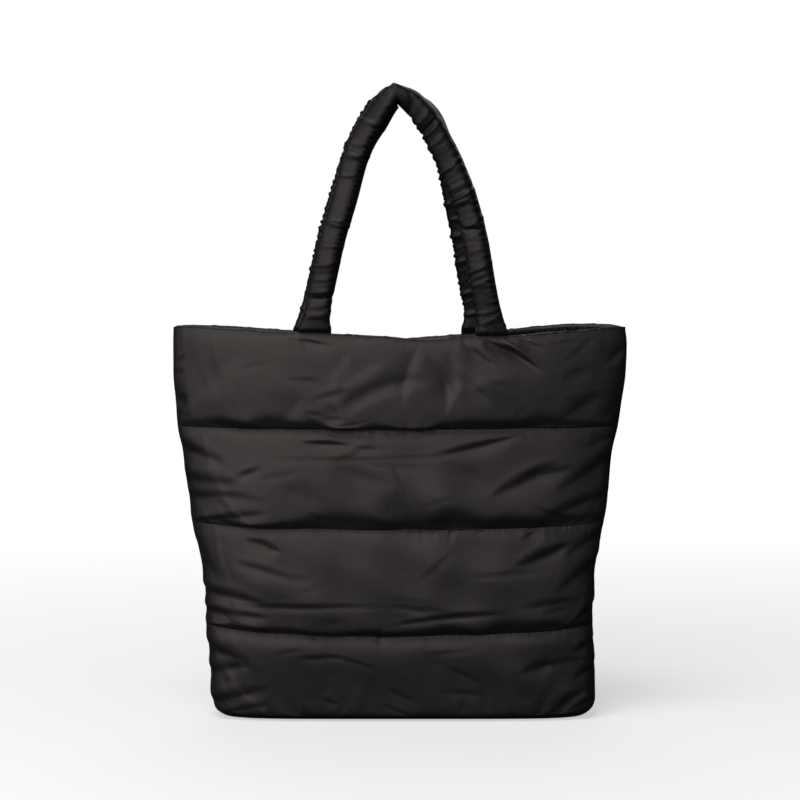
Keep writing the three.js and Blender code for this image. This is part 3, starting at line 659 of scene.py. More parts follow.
class Wall:
    """A grid of points on one wall: places across and down, and the skins over them."""

    def __init__(self, side, across, down):
        self.side = side
        self.down = down
        self.middle = WallMiddle(across)
        self.height = self.middle.heights(side, down)
        self.channel = np.minimum(down.astype(int), CHANNELS - 1)[:, None] + np.zeros(len(across), int)
        self.fall = down[:, None] - self.channel
        for name in WallMiddle.NAMES:
            setattr(self, name, self.middle.at(name, self.height))

    def skin(self, offset, drop=0.0):
        """Points that stand off the wall's middle by an offset, lowered by a drop."""
        x = self.x + self.nx * offset
        apart = mix(-SIDE_OVERLAP, SEAM_GAP / 2, smooth(0, SIDE_CLOSING, self.inset))
        y = self.side * (self.out + self.no * offset + apart)
        return np.stack([x, y, self.height - drop], axis=-1)

    def edge(self):
        return edge_half(self.channel, self.fall, self.full)

    def undercut(self):
        """How much of each channel's height tucks under, uneven along the wall."""
        share = self.x / MOUTH_HALF
        names = ("first", "second", "third", "fourth")
        shares = [table_value(UNDERCUTS, "across", name, share * -self.side) for name in names]
        uneven = 1 + 0.2 * ripple(20 + self.side, self.arc + self.channel * 0.7, 0.075, 9)
        return np.choose(self.channel, shares) * uneven

    def outer(self, puckered=True):
        """The outer skin as sewn, with its folds and, where asked, its puckers."""
        drift = 0.18 * ripple(31 + self.side, self.arc + 0.5 * self.channel, 0.11)
        drift *= self.fall * (1 - self.fall)
        full = outer_padding(self.channel, self.fall + drift, self.undercut()) * self.full
        rest = smooth(0, 0.09, self.fall + 0.04 * (self.channel == 0)) * smooth(0, 0.07, 1 - self.fall)
        folds = FOLDS[self.side] + (fine_folds(self.side) if puckered else [])
        lift = fold_lift(folds, self.x, self.height) * rest
        waves = ripple(3 + self.side, self.x + 0.7 * self.height, 0.11)
        waves *= ripple(8, self.height - 0.4 * self.x, 0.13)
        lift += 1.0 * MM * waves * full
        if puckered:
            lift += self.puckers()
        offset = self.edge() + full * OUTER_PUFF * SIM_PUFF + lift * smooth(0, 0.012, self.inset)
        return self.skin(offset, hang(self.fall) * self.full)

    def puckers(self):
        lift = np.zeros_like(self.x)
        for channel in range(CHANNELS):
            rows = self.channel[:, 0] == channel
            x, height = self.x[rows], self.height[rows]
            top, bottom = height[0], self.middle.seam_height(self.side, channel + 1)
            fall = self.fall[rows]
            lift[rows] += pucker_lift(self.side, channel, x, top - height) * smooth(0, 0.03, fall)
            lift[rows] += pucker_lift(self.side, channel + 1, x, height - bottom) * smooth(0, 0.03, 1 - fall)
        return lift

    def inner(self, further=0.0):
        full = padding(self.fall) * self.full
        hollow = INNER_HOLLOW * smooth(0, 0.14, self.fall) * (self.channel == 0) * self.full
        return self.skin(-(self.edge() + INNER_PUFF * full - hollow + further))


def grid_faces(rows, columns, wrap=False):
    """Quads of a grid of points numbered row by row; a wrapped grid joins its last column to its first."""
    row = np.arange(rows - 1)[:, None, None] + np.array([0, 1, 1, 0])
    column = np.arange(columns if wrap else columns - 1)[None, :, None] + np.array([0, 0, 1, 1])
    return (row * columns + column % columns).reshape(-1, 4)


def grid_corners(u, v, wrap=False):
    """Cloth coordinates of the corners of a grid's quads, u for each column and v for each row."""
    columns = len(u) - 1
    row = np.arange(len(v) - 1)[:, None, None] + np.array([0, 1, 1, 0]) + np.zeros((1, columns, 1), int)
    column = np.arange(columns)[None, :, None] + np.array([0, 0, 1, 1]) + np.zeros((len(v) - 1, 1, 1), int)
    return np.stack([u[column], v[row]], axis=-1).reshape(-1, 2)


def zip_rows(upper, lower):
    """Triangles between two rows of numbered points that run side by side."""
    triangles = []
    i = j = 0
    while i < len(upper) - 1 or j < len(lower) - 1:
        upper_next = (i + 1) / (len(upper) - 1)
        lower_next = (j + 1) / (len(lower) - 1)
        if j == len(lower) - 1 or (i < len(upper) - 1 and upper_next <= lower_next + 1e-9):
            triangles.append((upper[i], lower[j], upper[i + 1]))
            i += 1
        else:
            triangles.append((upper[i], lower[j], lower[j + 1]))
            j += 1
    return np.array(triangles)


def new_object(name, points, face_groups, corners=None, attributes=None):
    """A smooth mesh object from points and groups of faces, with cloth coordinates for every face corner."""
    mesh = bpy.data.meshes.new(name)
    faces = [tuple(face) for group in face_groups for face in group.tolist()]
    mesh.from_pydata(points.reshape(-1, 3).tolist(), [], faces)
    if corners is not None:
        mesh.uv_layers.new(name="cloth").data.foreach_set("uv", corners.ravel())
    for key, values in (attributes or {}).items():
        mesh.attributes.new(key, "FLOAT", "POINT").data.foreach_set("value", np.ravel(values))
    mesh.shade_smooth()
    piece = bpy.data.objects.new(name, mesh)
    bpy.context.collection.objects.link(piece)
    return piece


def settle(side):
    """Lets a wall's outer cloth settle over its padding, held at every seam: how far each point moves."""
    across = np.linspace(-1, 1, SIM_COLUMNS + 1)
    down = places_down(SIM_ROWS)
    start = Wall(side, across, down).outer(puckered=False)
    faces = grid_faces(len(down), len(across))
    piece = new_object("settling_cloth", start, [faces if side == FRONT else faces[:, ::-1]])
    held = np.zeros(start.shape[:2], bool)
    held[::SIM_ROWS] = True
    held[:, [0, -1]] = True
    piece.vertex_groups.new(name="held").add(np.flatnonzero(held).tolist(), 1.0, "REPLACE")
    cloth = piece.modifiers.new("cloth", "CLOTH")
    settings = cloth.settings
    settings.quality = SIM_QUALITY
    settings.mass = SIM_MASS
    settings.tension_stiffness = settings.compression_stiffness = SIM_STIFFNESS
    settings.shear_stiffness = SIM_STIFFNESS / 3
    settings.bending_stiffness = SIM_BENDING
    settings.air_damping = SIM_DAMPING
    settings.vertex_group_mass = "held"
    settings.shrink_min = -SIM_GROWTH
    settings.use_pressure = True
    settings.uniform_pressure_force = SIM_PRESSURE
    settings.effector_weights.gravity = SIM_GRAVITY
    cloth.collision_settings.use_collision = False
    cloth.point_cache.frame_start = 1
    cloth.point_cache.frame_end = SIM_FRAMES
    scene = bpy.context.scene
    for step in range(1, SIM_FRAMES + 1):
        scene.frame_set(step)
    settled = piece.evaluated_get(bpy.context.evaluated_depsgraph_get()).to_mesh()
    points = np.zeros(len(settled.vertices) * 3)
    settled.vertices.foreach_get("co", points)
    scene.frame_set(1)
    bpy.data.objects.remove(piece)
    moved = points.reshape(start.shape) - start
    length = np.linalg.norm(moved, axis=-1, keepdims=True)
    return moved * SIM_REACH * np.tanh(length / SIM_REACH) / np.maximum(length, 1e-9)


def refine(values, steps):
    """Rows on a smooth curve through the given rows, a number of steps from each to the next."""
    ends = np.concatenate([[2 * values[0] - values[1]], values, [2 * values[-1] - values[-2]]])
    at = np.arange((len(values) - 1) * steps + 1) / steps
    row = np.minimum(at.astype(int), len(values) - 2)
    t = (at - row).reshape(-1, *[1] * (values.ndim - 1))
    before, here, after, beyond = (ends[row + i] for i in range(4))
    slope, curve = (after - before) / 2, before - 2.5 * here + 2 * after - beyond / 2
    return here + t * slope + t**2 * curve + t**3 * ((beyond - before) / 2 + 1.5 * (here - after))


def refined_move(moved):
    """The settled cloth's moves on the fine grid, smooth within each channel and sharp at the seams."""
    finer = CHANNEL_ROWS // SIM_ROWS
    rows = [refine(moved[c * SIM_ROWS:(c + 1) * SIM_ROWS + 1], finer) for c in range(CHANNELS)]
    fine = np.concatenate([rows[0]] + [channel[1:] for channel in rows[1:]])
    return refine(fine.swapaxes(0, 1), COLUMNS // SIM_COLUMNS).swapaxes(0, 1)


def seam_share(wall):
    """How near each point is to a seam, from 0 past 6 millimetres to 1 within 1 of the seam."""
    seams = [wall.middle.seam_height(wall.side, seam) for seam in range(1, CHANNELS)]
    nearest = np.min([np.abs(wall.height - seam) for seam in seams], axis=0)
    return 1 - smooth(0.001, 0.006, nearest)


def make_wall(side, name, node):
    """One padded wall: a fine outer skin, a rounded rim, a coarser inner skin and the edges between them."""
    across = np.linspace(-1, 1, COLUMNS + 1)
    down = places_down(CHANNEL_ROWS)
    wall = Wall(side, across, down)
    outer = wall.outer() + refined_move(settle(side)) * smooth(0, 0.5, 1 - np.abs(across))[:, None]
    top = Wall(side, across, down[:1])
    angles = np.radians([150, 120, 90, 60, 30])
    caps = [top.skin(top.edge() * math.cos(angle), -RIM_ROUND * math.sin(angle)) for angle in angles]
    outer = np.concatenate(caps + [outer])
    inner_wall = Wall(side, across[::INNER_SHARE], down[::INNER_SHARE])
    inner = inner_wall.inner()
    cap_arc = np.repeat(top.arc, len(caps), axis=0)
    outer_uv = np.stack([np.concatenate([cap_arc, wall.arc]), outer[..., 2]], axis=-1)
    inner_uv = np.stack([inner_wall.arc, inner[..., 2]], axis=-1)
    number = np.arange(outer[..., 0].size).reshape(outer.shape[:2])
    inside = number.size + np.arange(inner[..., 0].size).reshape(inner.shape[:2])
    quads = np.concatenate([grid_faces(*number.shape), grid_faces(*inside.shape)[:, ::-1] + number.size])
    triangles = np.concatenate([
        zip_rows(inside[0], number[0]),
        zip_rows(number[-1], inside[-1]),
        zip_rows(number[:, 0], inside[:, 0]),
        zip_rows(inside[:, -1], number[:, -1]),
    ])
    if side == BACK:
        quads, triangles = quads[:, ::-1], triangles[:, ::-1]
    points = np.concatenate([outer.reshape(-1, 3), inner.reshape(-1, 3)])
    uv = np.concatenate([outer_uv.reshape(-1, 2), inner_uv.reshape(-1, 2)])
    corners = np.concatenate([uv[quads.ravel()], uv[triangles.ravel()]])
    near = np.concatenate([np.zeros(cap_arc.size), seam_share(wall).ravel(), np.zeros(inner_uv[..., 0].size)])
    piece = new_object(name, points, [quads, triangles], corners, {"seam_near": near})
    return finish_piece(piece, node)


def finish_piece(piece, node=None):
    """Gives a piece its body and hides the CAD part that it stands in for."""
    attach(piece, "root")
    if node:
        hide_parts(node)
    return piece


def sweep(path, wide, deep, radius_wide, radius_deep, sides):
    """Rings of points round a path; radii are numbers or one for each station and side."""
    angle = np.arange(sides) / sides * 2 * math.pi
    across = wide[:, None] * (radius_wide * np.cos(angle))[..., None]
    return path[:, None] + across + deep[:, None] * (radius_deep * np.sin(angle))[..., None]


def around_rim(points_of):
    """Joins points of the front and back walls into one ring, which starts at the left side seam."""
    across = np.linspace(-1, 1, AROUND_STEPS + 1)
    front, back = (points_of(Wall(side, across, np.array([0.0]))) for side in (FRONT, BACK))
    return np.concatenate([front[:, :-1], back[:, :0:-1]], axis=1)


def roll_place(wall):
    """Where the rolled edge runs, in the outer corner of the rim."""
    return wall.skin(wall.edge() - ROLL_INSET, -ROLL_RISE)


def make_rim_roll():
    """The thin rolled edge along the outside of the rim, all round the mouth."""
    path = around_rim(roll_place)[0]
    run = np.cumsum(np.linalg.norm(np.roll(path, -1, axis=0) - path, axis=1))
    path[:, 2] += 0.35 * MM * ripple(5, run, 0.03)
    along = unit(np.roll(path, -1, axis=0) - np.roll(path, 1, axis=0))
    deep = np.tile([0.0, 0.0, 1.0], (len(path), 1))
    wide = np.cross(along, deep)
    size = ROLL_RADIUS * (1 + 0.16 * ripple(6, run, 0.012))[:, None]
    rings = sweep(path, wide, deep, size, size * 0.9, ROLL_SIDES)
    rings = np.concatenate([rings, rings[:1]])
    faces = grid_faces(len(rings), ROLL_SIDES, wrap=True) % (len(path) * ROLL_SIDES)
    u = np.arange(ROLL_SIDES + 1) / ROLL_SIDES * 2 * math.pi * ROLL_RADIUS
    v = np.concatenate([[0], run])
    piece = new_object("rim_roll", rings[:-1], [faces], grid_corners(u, v))
    return finish_piece(piece)


def make_facing():
    """The gathered strip that lines the mouth all round."""
    across = np.linspace(-1, 1, AROUND_STEPS + 1)
    reach = (1 - SEAMS[0].side) * BODY_HEIGHT
    down = np.linspace(FACING_DROP, FACING_DROP + FACING_HEIGHT, FACING_ROWS) / reach
    rings = []
    for further in (FACING_CLEARANCE, FACING_CLEARANCE + FACING_THICKNESS):
        walls = []
        for side in (FRONT, BACK):
            wall = Wall(side, across, down)
            strong = 0.35 + 0.65 * smooth(0.02, 0.12, wall.x) * (side == BACK)
            phase = 2 * math.pi * wall.arc / GATHER_PITCH + 1.5 * ripple(12, wall.arc, 0.05)
            gather = GATHER_DEPTH * strong * (1 + np.sin(phase)) * smooth(0, 0.05, 1 - np.abs(across))
            walls.append(wall.inner(further + gather))
        front, back = walls
        front[:, [0, -1], 1] = 0
        back[:, [0, -1], 1] = 0
        rings.append(np.concatenate([front[:, :-1], back[:, :0:-1]], axis=1))
    backing, face = rings
    rows = np.concatenate([backing, face[::-1], backing[:1]])
    count = rows.shape[1]
    faces = grid_faces(len(rows), count, wrap=True) % ((len(rows) - 1) * count)
    run = np.linalg.norm(np.roll(face[0], -1, axis=0) - face[0], axis=1)
    u = np.concatenate([[0], np.cumsum(run)])
    v = np.concatenate([backing[:, 0, 2], face[::-1, 0, 2], backing[:1, 0, 2]])
    piece = new_object("gathered_facing", rows[:-1], [faces], grid_corners(u, v))
    finish_piece(piece, "mouth_facing")
    return piece


def make_base():
    """The padded base: a flat underside, round lower edges and a low pad inside the bag."""
    across = np.linspace(-1, 1, AROUND_STEPS // 2 + 1)
    middle = WallMiddle(across)
    edge_top = BASE_HEIGHT - SEAM_GAP

    def ring(height, scale, lift):
        heights = np.full((1, len(across)), height)
        x, out, nx, no = (middle.at(name, heights)[0] for name in ("x", "out", "nx", "no"))
        x, out = x + nx * HEEL_THICKNESS / 2, out + no * HEEL_THICKNESS / 2
        x = np.concatenate([x[:-1], x[:0:-1]]) * scale
        y = np.concatenate([-out[:-1], out[:0:-1]]) * scale
        return np.stack([x, y, np.full(len(x), lift)], axis=-1)

    under = [ring(0, scale, 0.0) for scale in (0.02, 0.2, 0.4, 0.6, 0.75, 0.87, 0.95)]
    edges = [ring(share * edge_top, 1, share * edge_top) for share in np.linspace(0, 1, 9)]
    scales = np.array([0.97, 0.93, 0.85, 0.72, 0.55, 0.35, 0.15, 0.02])
    floors = [ring(edge_top, s, edge_top + BASE_PUFF * math.sqrt(1 - s**4)) for s in scales]
    rings = np.array(under + edges + floors)
    rows, count = rings.shape[:2]
    faces = grid_faces(rows, count, wrap=True)[:, ::-1]
    first, last = np.arange(count)[None], np.arange(count)[None, ::-1] + (rows - 1) * count
    uv = rings.reshape(-1, 3)[:, :2]
    groups = [faces, first, last]
    corners = np.concatenate([uv[group.ravel()] for group in groups])
    piece = new_object("padded_base", rings, groups, corners)
    return finish_piece(piece, "base_panel")


def leg_foot(side, leg):
    """Where a leg is sewn into the rim: the rim's height there, the wall's middle and its normal."""
    x = SPREAD_HALF * getattr(LEGS[side][0], leg)
    share = (x + np.array([-0.5, 0, 0.5]) * FOOT_WIDTH) / MOUTH_HALF
    heights = table_value(RIMS[side], "across", "height", share) * BODY_HEIGHT
    section = body_section(np.array([heights[1] - TAIL_LENGTH / 2]))
    width, depth, n = section["left" if x < 0 else "right"][0], section["depth"][0], section["square"][0]
    near = abs(x) / width
    out = depth * (1 - near**n) ** (1 / n) + SEAM_GAP / 2
    normal = np.array([math.copysign(near ** (n - 1) / width, x), side * (out / depth) ** (n - 1) / depth, 0])
    return heights.max(), heights[1] - TAIL_LENGTH, out, normal / np.linalg.norm(normal)


def leg_stations(side, leg):
    """Stations up one leg: middle, half width, half depth, squareness, depth's direction and height share."""
    top, bottom, foot_out, normal = leg_foot(side, leg)
    rise = np.linspace(0, 1, LEG_STATIONS)
    columns = ("flare", "fullness", "turn")
    flare, fullness, turn = (table_value(LEG_SECTIONS, "rise", name, rise) for name in columns)
    x = SPREAD_HALF * table_value(LEGS[side], "rise", leg, rise)
    out = mix(foot_out, (HANDLE_DEPTH + SEAM_GAP) / 2, smooth(0, 1, rise))
    z = mix(top + SEAM_GAP, BODY_HEIGHT + HANDLE_DROP, rise)
    middle = np.stack([x, side * out, z], axis=-1)
    width = mix(HANDLE_WIDTH, FOOT_WIDTH, flare) / 2
    depth = mix(TAIL_THICKNESS, HANDLE_DEPTH, fullness) / 2
    square = mix(FOOT_SQUARENESS, HANDLE_SQUARENESS, smooth(0, 0.05, rise))
    deep = unit(mix(normal, np.array([0.0, side, 0.0]), turn[:, None]))
    tail = middle[0] * [1, 1, 0] + [[0, 0, mix(bottom, middle[0, 2], share)] for share in TAIL_SHARES]
    fields = [np.concatenate([values[:1], values[:1], values]) for values in (width, depth, square, deep)]
    fields[1][:2] = TAIL_THICKNESS / 2
    return [np.concatenate([tail, middle]), *fields, np.concatenate([[-0.05, -0.025], rise])]


def crease_lift(creases, rise, angle, inner_sign):
    """How far the creases across a leg move its cloth, at heights and at angles round the tube."""
    lift = np.zeros((len(rise), len(angle)))
    inward = inner_sign * np.cos(angle)
    for crease in creases:
        run = (rise[:, None] - crease.rise) * HANDLE_DROP - crease.climb * MM / 2 * inward
        u = run / (crease.width * MM)
        deepest = -inner_sign * math.acos(np.clip(crease.side * inner_sign, -1, 1))
        share = 0.1 + 0.9 * (0.5 + 0.5 * np.cos(angle - deepest)) ** 2.5
        darker = smooth(-0.1, 0.9, inward)
        above, below = mix(0.65, 1.7, darker), mix(2.2, 0.7, darker)
        valley = np.exp(-np.abs(u / np.where(u > 0, above, below)) ** 1.6)
        lift += CREASE_SHARE * crease.depth * MM * share * valley
    return lift


def side_gathers(side, run, angle):
    """Short gathers along both sides of a tube, where its cloth is caught."""
    lift = np.zeros((len(run), len(angle)))
    for number, turn in enumerate((0.55, math.pi - 0.5)):
        middle = turn if side == FRONT else -turn
        away = (angle - middle + math.pi) % (2 * math.pi) - math.pi
        bumps = ripple(90 + number + 5 * (side == BACK), run, 0.0075, 9)
        lift += GATHER_LIFT * bumps[:, None] * np.exp(-((away / 0.42) ** 2))
    return lift


def small_creases(side, leg):
    """Many faint short creases at chance places on a leg."""
    draw = np.random.default_rng(70 + (side == BACK) * 2 + (leg == "right"))
    slope = 6 if leg == "left" else -6
    creases = []
    for rise in draw.uniform(0.06, 0.98, SMALL_CREASES):
        depth, width = draw.uniform(0.15, 0.5), draw.uniform(0.7, 1.3)
        climb = draw.uniform(-6, 6) + slope
        creases.append(Crease(rise, depth, width, climb, draw.uniform(-1, 1)))
    return creases


def both_legs(side, angle):
    """Stations and crease lifts up the left leg, over the fold and down the right one."""
    inner_sign = 1 if side == BACK else -1
    legs, lifts = [], []
    for leg in ("left", "right"):
        stations = leg_stations(side, leg)
        rise = stations[-1]
        lift = crease_lift(CREASES[side, leg] + small_creases(side, leg), rise, angle, inner_sign)
        lift += side_gathers(side, rise * HANDLE_DROP + (leg == "right"), angle)
        lift *= smooth(0.02, 0.08, rise)[:, None]
        if leg == "right":
            stations = [values[::-1][1:] for values in stations]
            lift = lift[::-1][1:]
        legs.append(stations + [np.full(len(lift), 1.0 if leg == "left" else -1.0)])
        lifts.append(lift)
    return [np.concatenate(pair) for pair in zip(*legs)], np.concatenate(lifts)


def tube_axes(middle, deep, rise, leg_sign):
    """Directions across a tube's width and depth at each station, turned as the handle is twisted."""
    before = np.concatenate([np.repeat(middle[:1], LOOK_BACK, axis=0), middle[:-LOOK_BACK]])
    after = np.concatenate([middle[LOOK_AHEAD:], np.repeat(middle[-1:], LOOK_AHEAD, axis=0)])
    along = (after - before) * [1, 0, 1]
    upright = rise < 0.03
    along[upright] = np.array([0, 0, 1]) * np.sign(along[upright][:, 2:])
    wide = unit(np.cross(deep, unit(along)))
    turned_away = FOLD_TURN * (leg_sign > 0) * smooth(0.7, 0.92, rise)
    twist = (HANDLE_TWIST * leg_sign * smooth(0.02, 0.2, rise) + turned_away) * (1 - smooth(0.965, 1.0, rise))
    twist = twist[:, None]
    return wide * np.cos(twist) - deep * np.sin(twist), deep * np.cos(twist) + wide * np.sin(twist)


def tube_object(name, points, middle):
    """A closed tube through rings of points, with cloth coordinates round it and along its middle."""
    faces = grid_faces(len(points), HANDLE_SIDES, wrap=True)[:, ::-1]
    around = np.arange(HANDLE_SIDES)[None]
    ends = [around, around[:, ::-1] + (len(points) - 1) * HANDLE_SIDES]
    u = np.arange(HANDLE_SIDES + 1) / HANDLE_SIDES * math.pi * HANDLE_WIDTH
    v = np.concatenate([[0], np.cumsum(np.linalg.norm(np.diff(middle, axis=0), axis=1))])
    turned_corners = grid_corners(u, v).reshape(-1, 4, 2)[:, ::-1].reshape(-1, 2)
    corners = np.concatenate([turned_corners, np.zeros((2 * HANDLE_SIDES, 2))])
    return new_object(name, points, [faces, *ends], corners)


def make_handle(side, name, node):
    """A padded tube handle, and the line of its sewn seam with the way out of the cloth along it."""
    angle = np.arange(HANDLE_SIDES) / HANDLE_SIDES * 2 * math.pi
    (middle, half_width, half_depth, square, deep, rise, leg_sign), lift = both_legs(side, angle)
    wide, deep = tube_axes(middle, deep, rise, leg_sign)
    seam_angle = (2 * math.pi if side == FRONT else math.pi) + HANDLE_SEAM_TURN * side
    turned = (angle - seam_angle + math.pi) % (2 * math.pi) - math.pi
    lift -= HANDLE_GROOVE * np.exp(-((turned * HANDLE_WIDTH / 2 / GROOVE_WIDTH) ** 2))
    power = 2 / square[:, None]
    wide_part = half_width[:, None] * signed_power(np.cos(angle), power) + lift * np.cos(angle)
    deep_part = half_depth[:, None] * signed_power(np.sin(angle), power) + lift * np.sin(angle)
    points = middle[:, None] + wide[:, None] * wide_part[..., None] + deep[:, None] * deep_part[..., None]
    finish_piece(tube_object(name, points, middle), node)
    seam_column = round(seam_angle / (2 * math.pi) * HANDLE_SIDES) % HANDLE_SIDES
    outward = wide * math.cos(seam_angle) + deep * math.sin(seam_angle)
    return points[8:-8, seam_column], outward[8:-8]


def stitches_along(line, outward):
    """Stitches at even steps along a line: their middles, directions and the way out of the cloth."""
    run = np.concatenate([[0], np.cumsum(np.linalg.norm(np.diff(line, axis=0), axis=1))])
    at = np.arange(STITCH_PITCH / 2, run[-1], STITCH_PITCH)

    def look(values, places):
        return np.stack([np.interp(places, run, values[:, i]) for i in range(3)], axis=-1)

    direction = unit(look(line, at + STITCH_LENGTH / 4) - look(line, at - STITCH_LENGTH / 4))
    return look(line, at), direction, look(outward, at)


def make_stitches(name, rows, radius):
    """Rounded stitches in one mesh, from rows of middles, directions and ways out."""
    middle, along, out = (np.concatenate(values) for values in zip(*rows))
    out = unit(out - along * (along * out).sum(axis=1, keepdims=True))
    beside = np.cross(along, out)
    sides = 6
    angle = np.arange(sides) / sides * 2 * math.pi
    shape = [(-0.5, 0.35, -0.5), (-0.3, 0.9, 0.25), (0, 1.0, 0.5), (0.3, 0.9, 0.25), (0.5, 0.35, -0.5)]
    rings = []
    for place, size, lift in shape:
        centre = middle + along * STITCH_LENGTH * place + out * radius * lift
        ring = beside[:, None] * np.cos(angle)[:, None] + out[:, None] * np.sin(angle)[:, None]
        rings.append(centre[:, None] + ring * radius * size)
    points = np.stack(rings, axis=1)
    count = len(middle)
    each = len(shape) * sides
    start = (np.arange(count) * each)[:, None, None]
    tube = (grid_faces(len(shape), sides, wrap=True)[None] + start).reshape(-1, 4)
    first = (np.arange(sides)[None, None, ::-1] + start).reshape(-1, sides)
    last = (np.arange(sides)[None, None] + start + each - sides).reshape(-1, sides)
    piece = new_object(name, points, [tube, first, last])
    return finish_piece(piece)


def seam_stitches(side):
    """Stitch rows along the three quilting seams of a wall."""
    across = np.linspace(-0.985, 0.985, COLUMNS + 1)
    rows = []
    for seam in range(1, CHANNELS):
        wall = Wall(side, across, np.array([float(seam)]))
        line = wall.skin(wall.edge() + 0.1 * MM)[0]
        outward = np.stack([wall.nx[0], side * wall.no[0], np.zeros(len(across))], axis=-1)
        rows.append(stitches_along(line, outward))
    return rows


class Nodes:
    """Builds one material's nodes."""

    def __init__(self, name):
        self.material = bpy.data.materials.new(name)
        self.material.use_nodes = True
        self.tree = self.material.node_tree
        self.tree.nodes.clear()

    def add(self, kind, inputs=None, **settings):
        """A node with its settings, and its inputs as numbers or as other nodes' outputs."""
        node = self.tree.nodes.new("ShaderNode" + kind)
        for key, value in settings.items():
            setattr(node, key, value)
        for key, value in (inputs or {}).items():
            if isinstance(value, bpy.types.NodeSocket):
                self.tree.links.new(value, node.inputs[key])
            else:
                node.inputs[key].default_value = value
        return node

    def math(self, operation, first, second):
        return self.add("Math", {0: first, 1: second}, operation=operation).outputs[0]

    def spread(self, value, low, high):
        """A value from 0 to 1 spread between two others."""
        return self.add("MapRange", {"Value": value, "To Min": low, "To Max": high}).outputs[0]

    def noise(self, vector, scale, detail=2.0, roughness=0.5):
        inputs = {"Vector": vector, "Scale": scale, "Detail": detail, "Roughness": roughness}
        return self.add("TexNoise", inputs).outputs["Fac"]

    def stretched(self, vector, scale):
        return self.add("Mapping", {"Vector": vector, "Scale": scale}).outputs[0]


def nylon(name):
    """Woven nylon: warp ribs and weave, ribs beside the seams, soft crumples, sheen and uneven colour."""
    look = NYLONS[name]
    nodes = Nodes(name)
    cloth = nodes.add("UVMap", uv_map="cloth").outputs[0]
    place = nodes.add("TexCoord").outputs["Object"]
    near_seam = nodes.add("Attribute", attribute_name="seam_near").outputs["Fac"]
    broad = nodes.noise(place, 14.0, 3.0)
    streaks = nodes.noise(nodes.stretched(cloth, STREAK_RATES), 1.0, 2.0)
    ribs = nodes.add("TexWave", {"Vector": cloth, "Scale": WARP_RATE}, bands_direction="X").outputs["Fac"]
    weft = nodes.add("TexWave", {"Vector": cloth, "Scale": WEFT_RATE}, bands_direction="Y").outputs["Fac"]
    seam_scale = 2 * math.pi / 20 / STITCH_PITCH
    seam_wave = {"Vector": cloth, "Scale": seam_scale, "Distortion": 1.2}
    seam_ribs = nodes.add("TexWave", seam_wave, bands_direction="X")
    crumple_scale = [rate * look.finer for rate in CRUMPLE_RATES]
    creases = nodes.noise(nodes.stretched(place, crumple_scale), 1.0, 2.0, 0.5)
    shade = nodes.math("ADD", nodes.spread(broad, -0.15, 0.55), nodes.spread(streaks, -0.1, 0.45))
    color = nodes.add("Mix", {"Factor": shade, "A": (*look.base, 1), "B": (*look.light, 1)}, data_type="RGBA")
    rough = nodes.spread(broad, look.roughness - 0.04, look.roughness + 0.05)
    rough = nodes.math("ADD", rough, nodes.spread(streaks, -0.07, 0.08))
    fine = nodes.math("ADD", nodes.math("MULTIPLY", ribs, 0.6), nodes.math("MULTIPLY", weft, 0.25))
    fine = nodes.math("ADD", fine, nodes.math("MULTIPLY", streaks, 0.9))
    patchy = nodes.spread(nodes.noise(place, 45.0), 0.0, 1.4)
    seam_height = nodes.math("MULTIPLY", nodes.math("MULTIPLY", seam_ribs.outputs["Fac"], near_seam), patchy)
    bump = nodes.add("Bump", {"Height": fine, "Strength": 0.5, "Distance": 0.00014})
    seam_bump = {"Height": seam_height, "Distance": 0.0006, "Strength": 0.7, "Normal": bump.outputs[0]}
    bump = nodes.add("Bump", seam_bump)
    crumples = {"Height": creases, "Distance": look.crumple, "Strength": 0.35, "Normal": bump.outputs[0]}
    bump = nodes.add("Bump", crumples)
    shader = nodes.add("BsdfPrincipled", {
        "Base Color": color.outputs["Result"],
        "Roughness": rough,
        "Specular IOR Level": look.gloss,
        "Specular Tint": (1.0, 0.92, 0.88, 1),
        "Sheen Weight": 0.04,
        "Sheen Roughness": 0.4,
        "Normal": bump.outputs[0],
    })
    nodes.add("OutputMaterial", {"Surface": shader.outputs[0]})
    return nodes.material


def thread(name, base):
    """Twisted sewing thread."""
    nodes = Nodes(name)
    place = nodes.add("TexCoord").outputs["Object"]
    twist_wave = {"Vector": place, "Scale": 900.0, "Distortion": 2.0}
    twist = nodes.add("TexWave", twist_wave, bands_direction="DIAGONAL")
    grain = nodes.noise(place, 600.0, 2.0)
    bump = nodes.add("Bump", {"Height": twist.outputs["Fac"], "Distance": 0.0001, "Strength": 0.5})
    light = [channel * 1.8 for channel in base]
    color = nodes.add("Mix", {"Factor": grain, "A": (*base, 1), "B": (*light, 1)}, data_type="RGBA")
    shader = nodes.add("BsdfPrincipled", {
        "Base Color": color.outputs["Result"],
        "Roughness": nodes.spread(grain, 0.4, 0.6),
        "Normal": bump.outputs[0],
    })
    nodes.add("OutputMaterial", {"Surface": shader.outputs[0]})
    return nodes.material


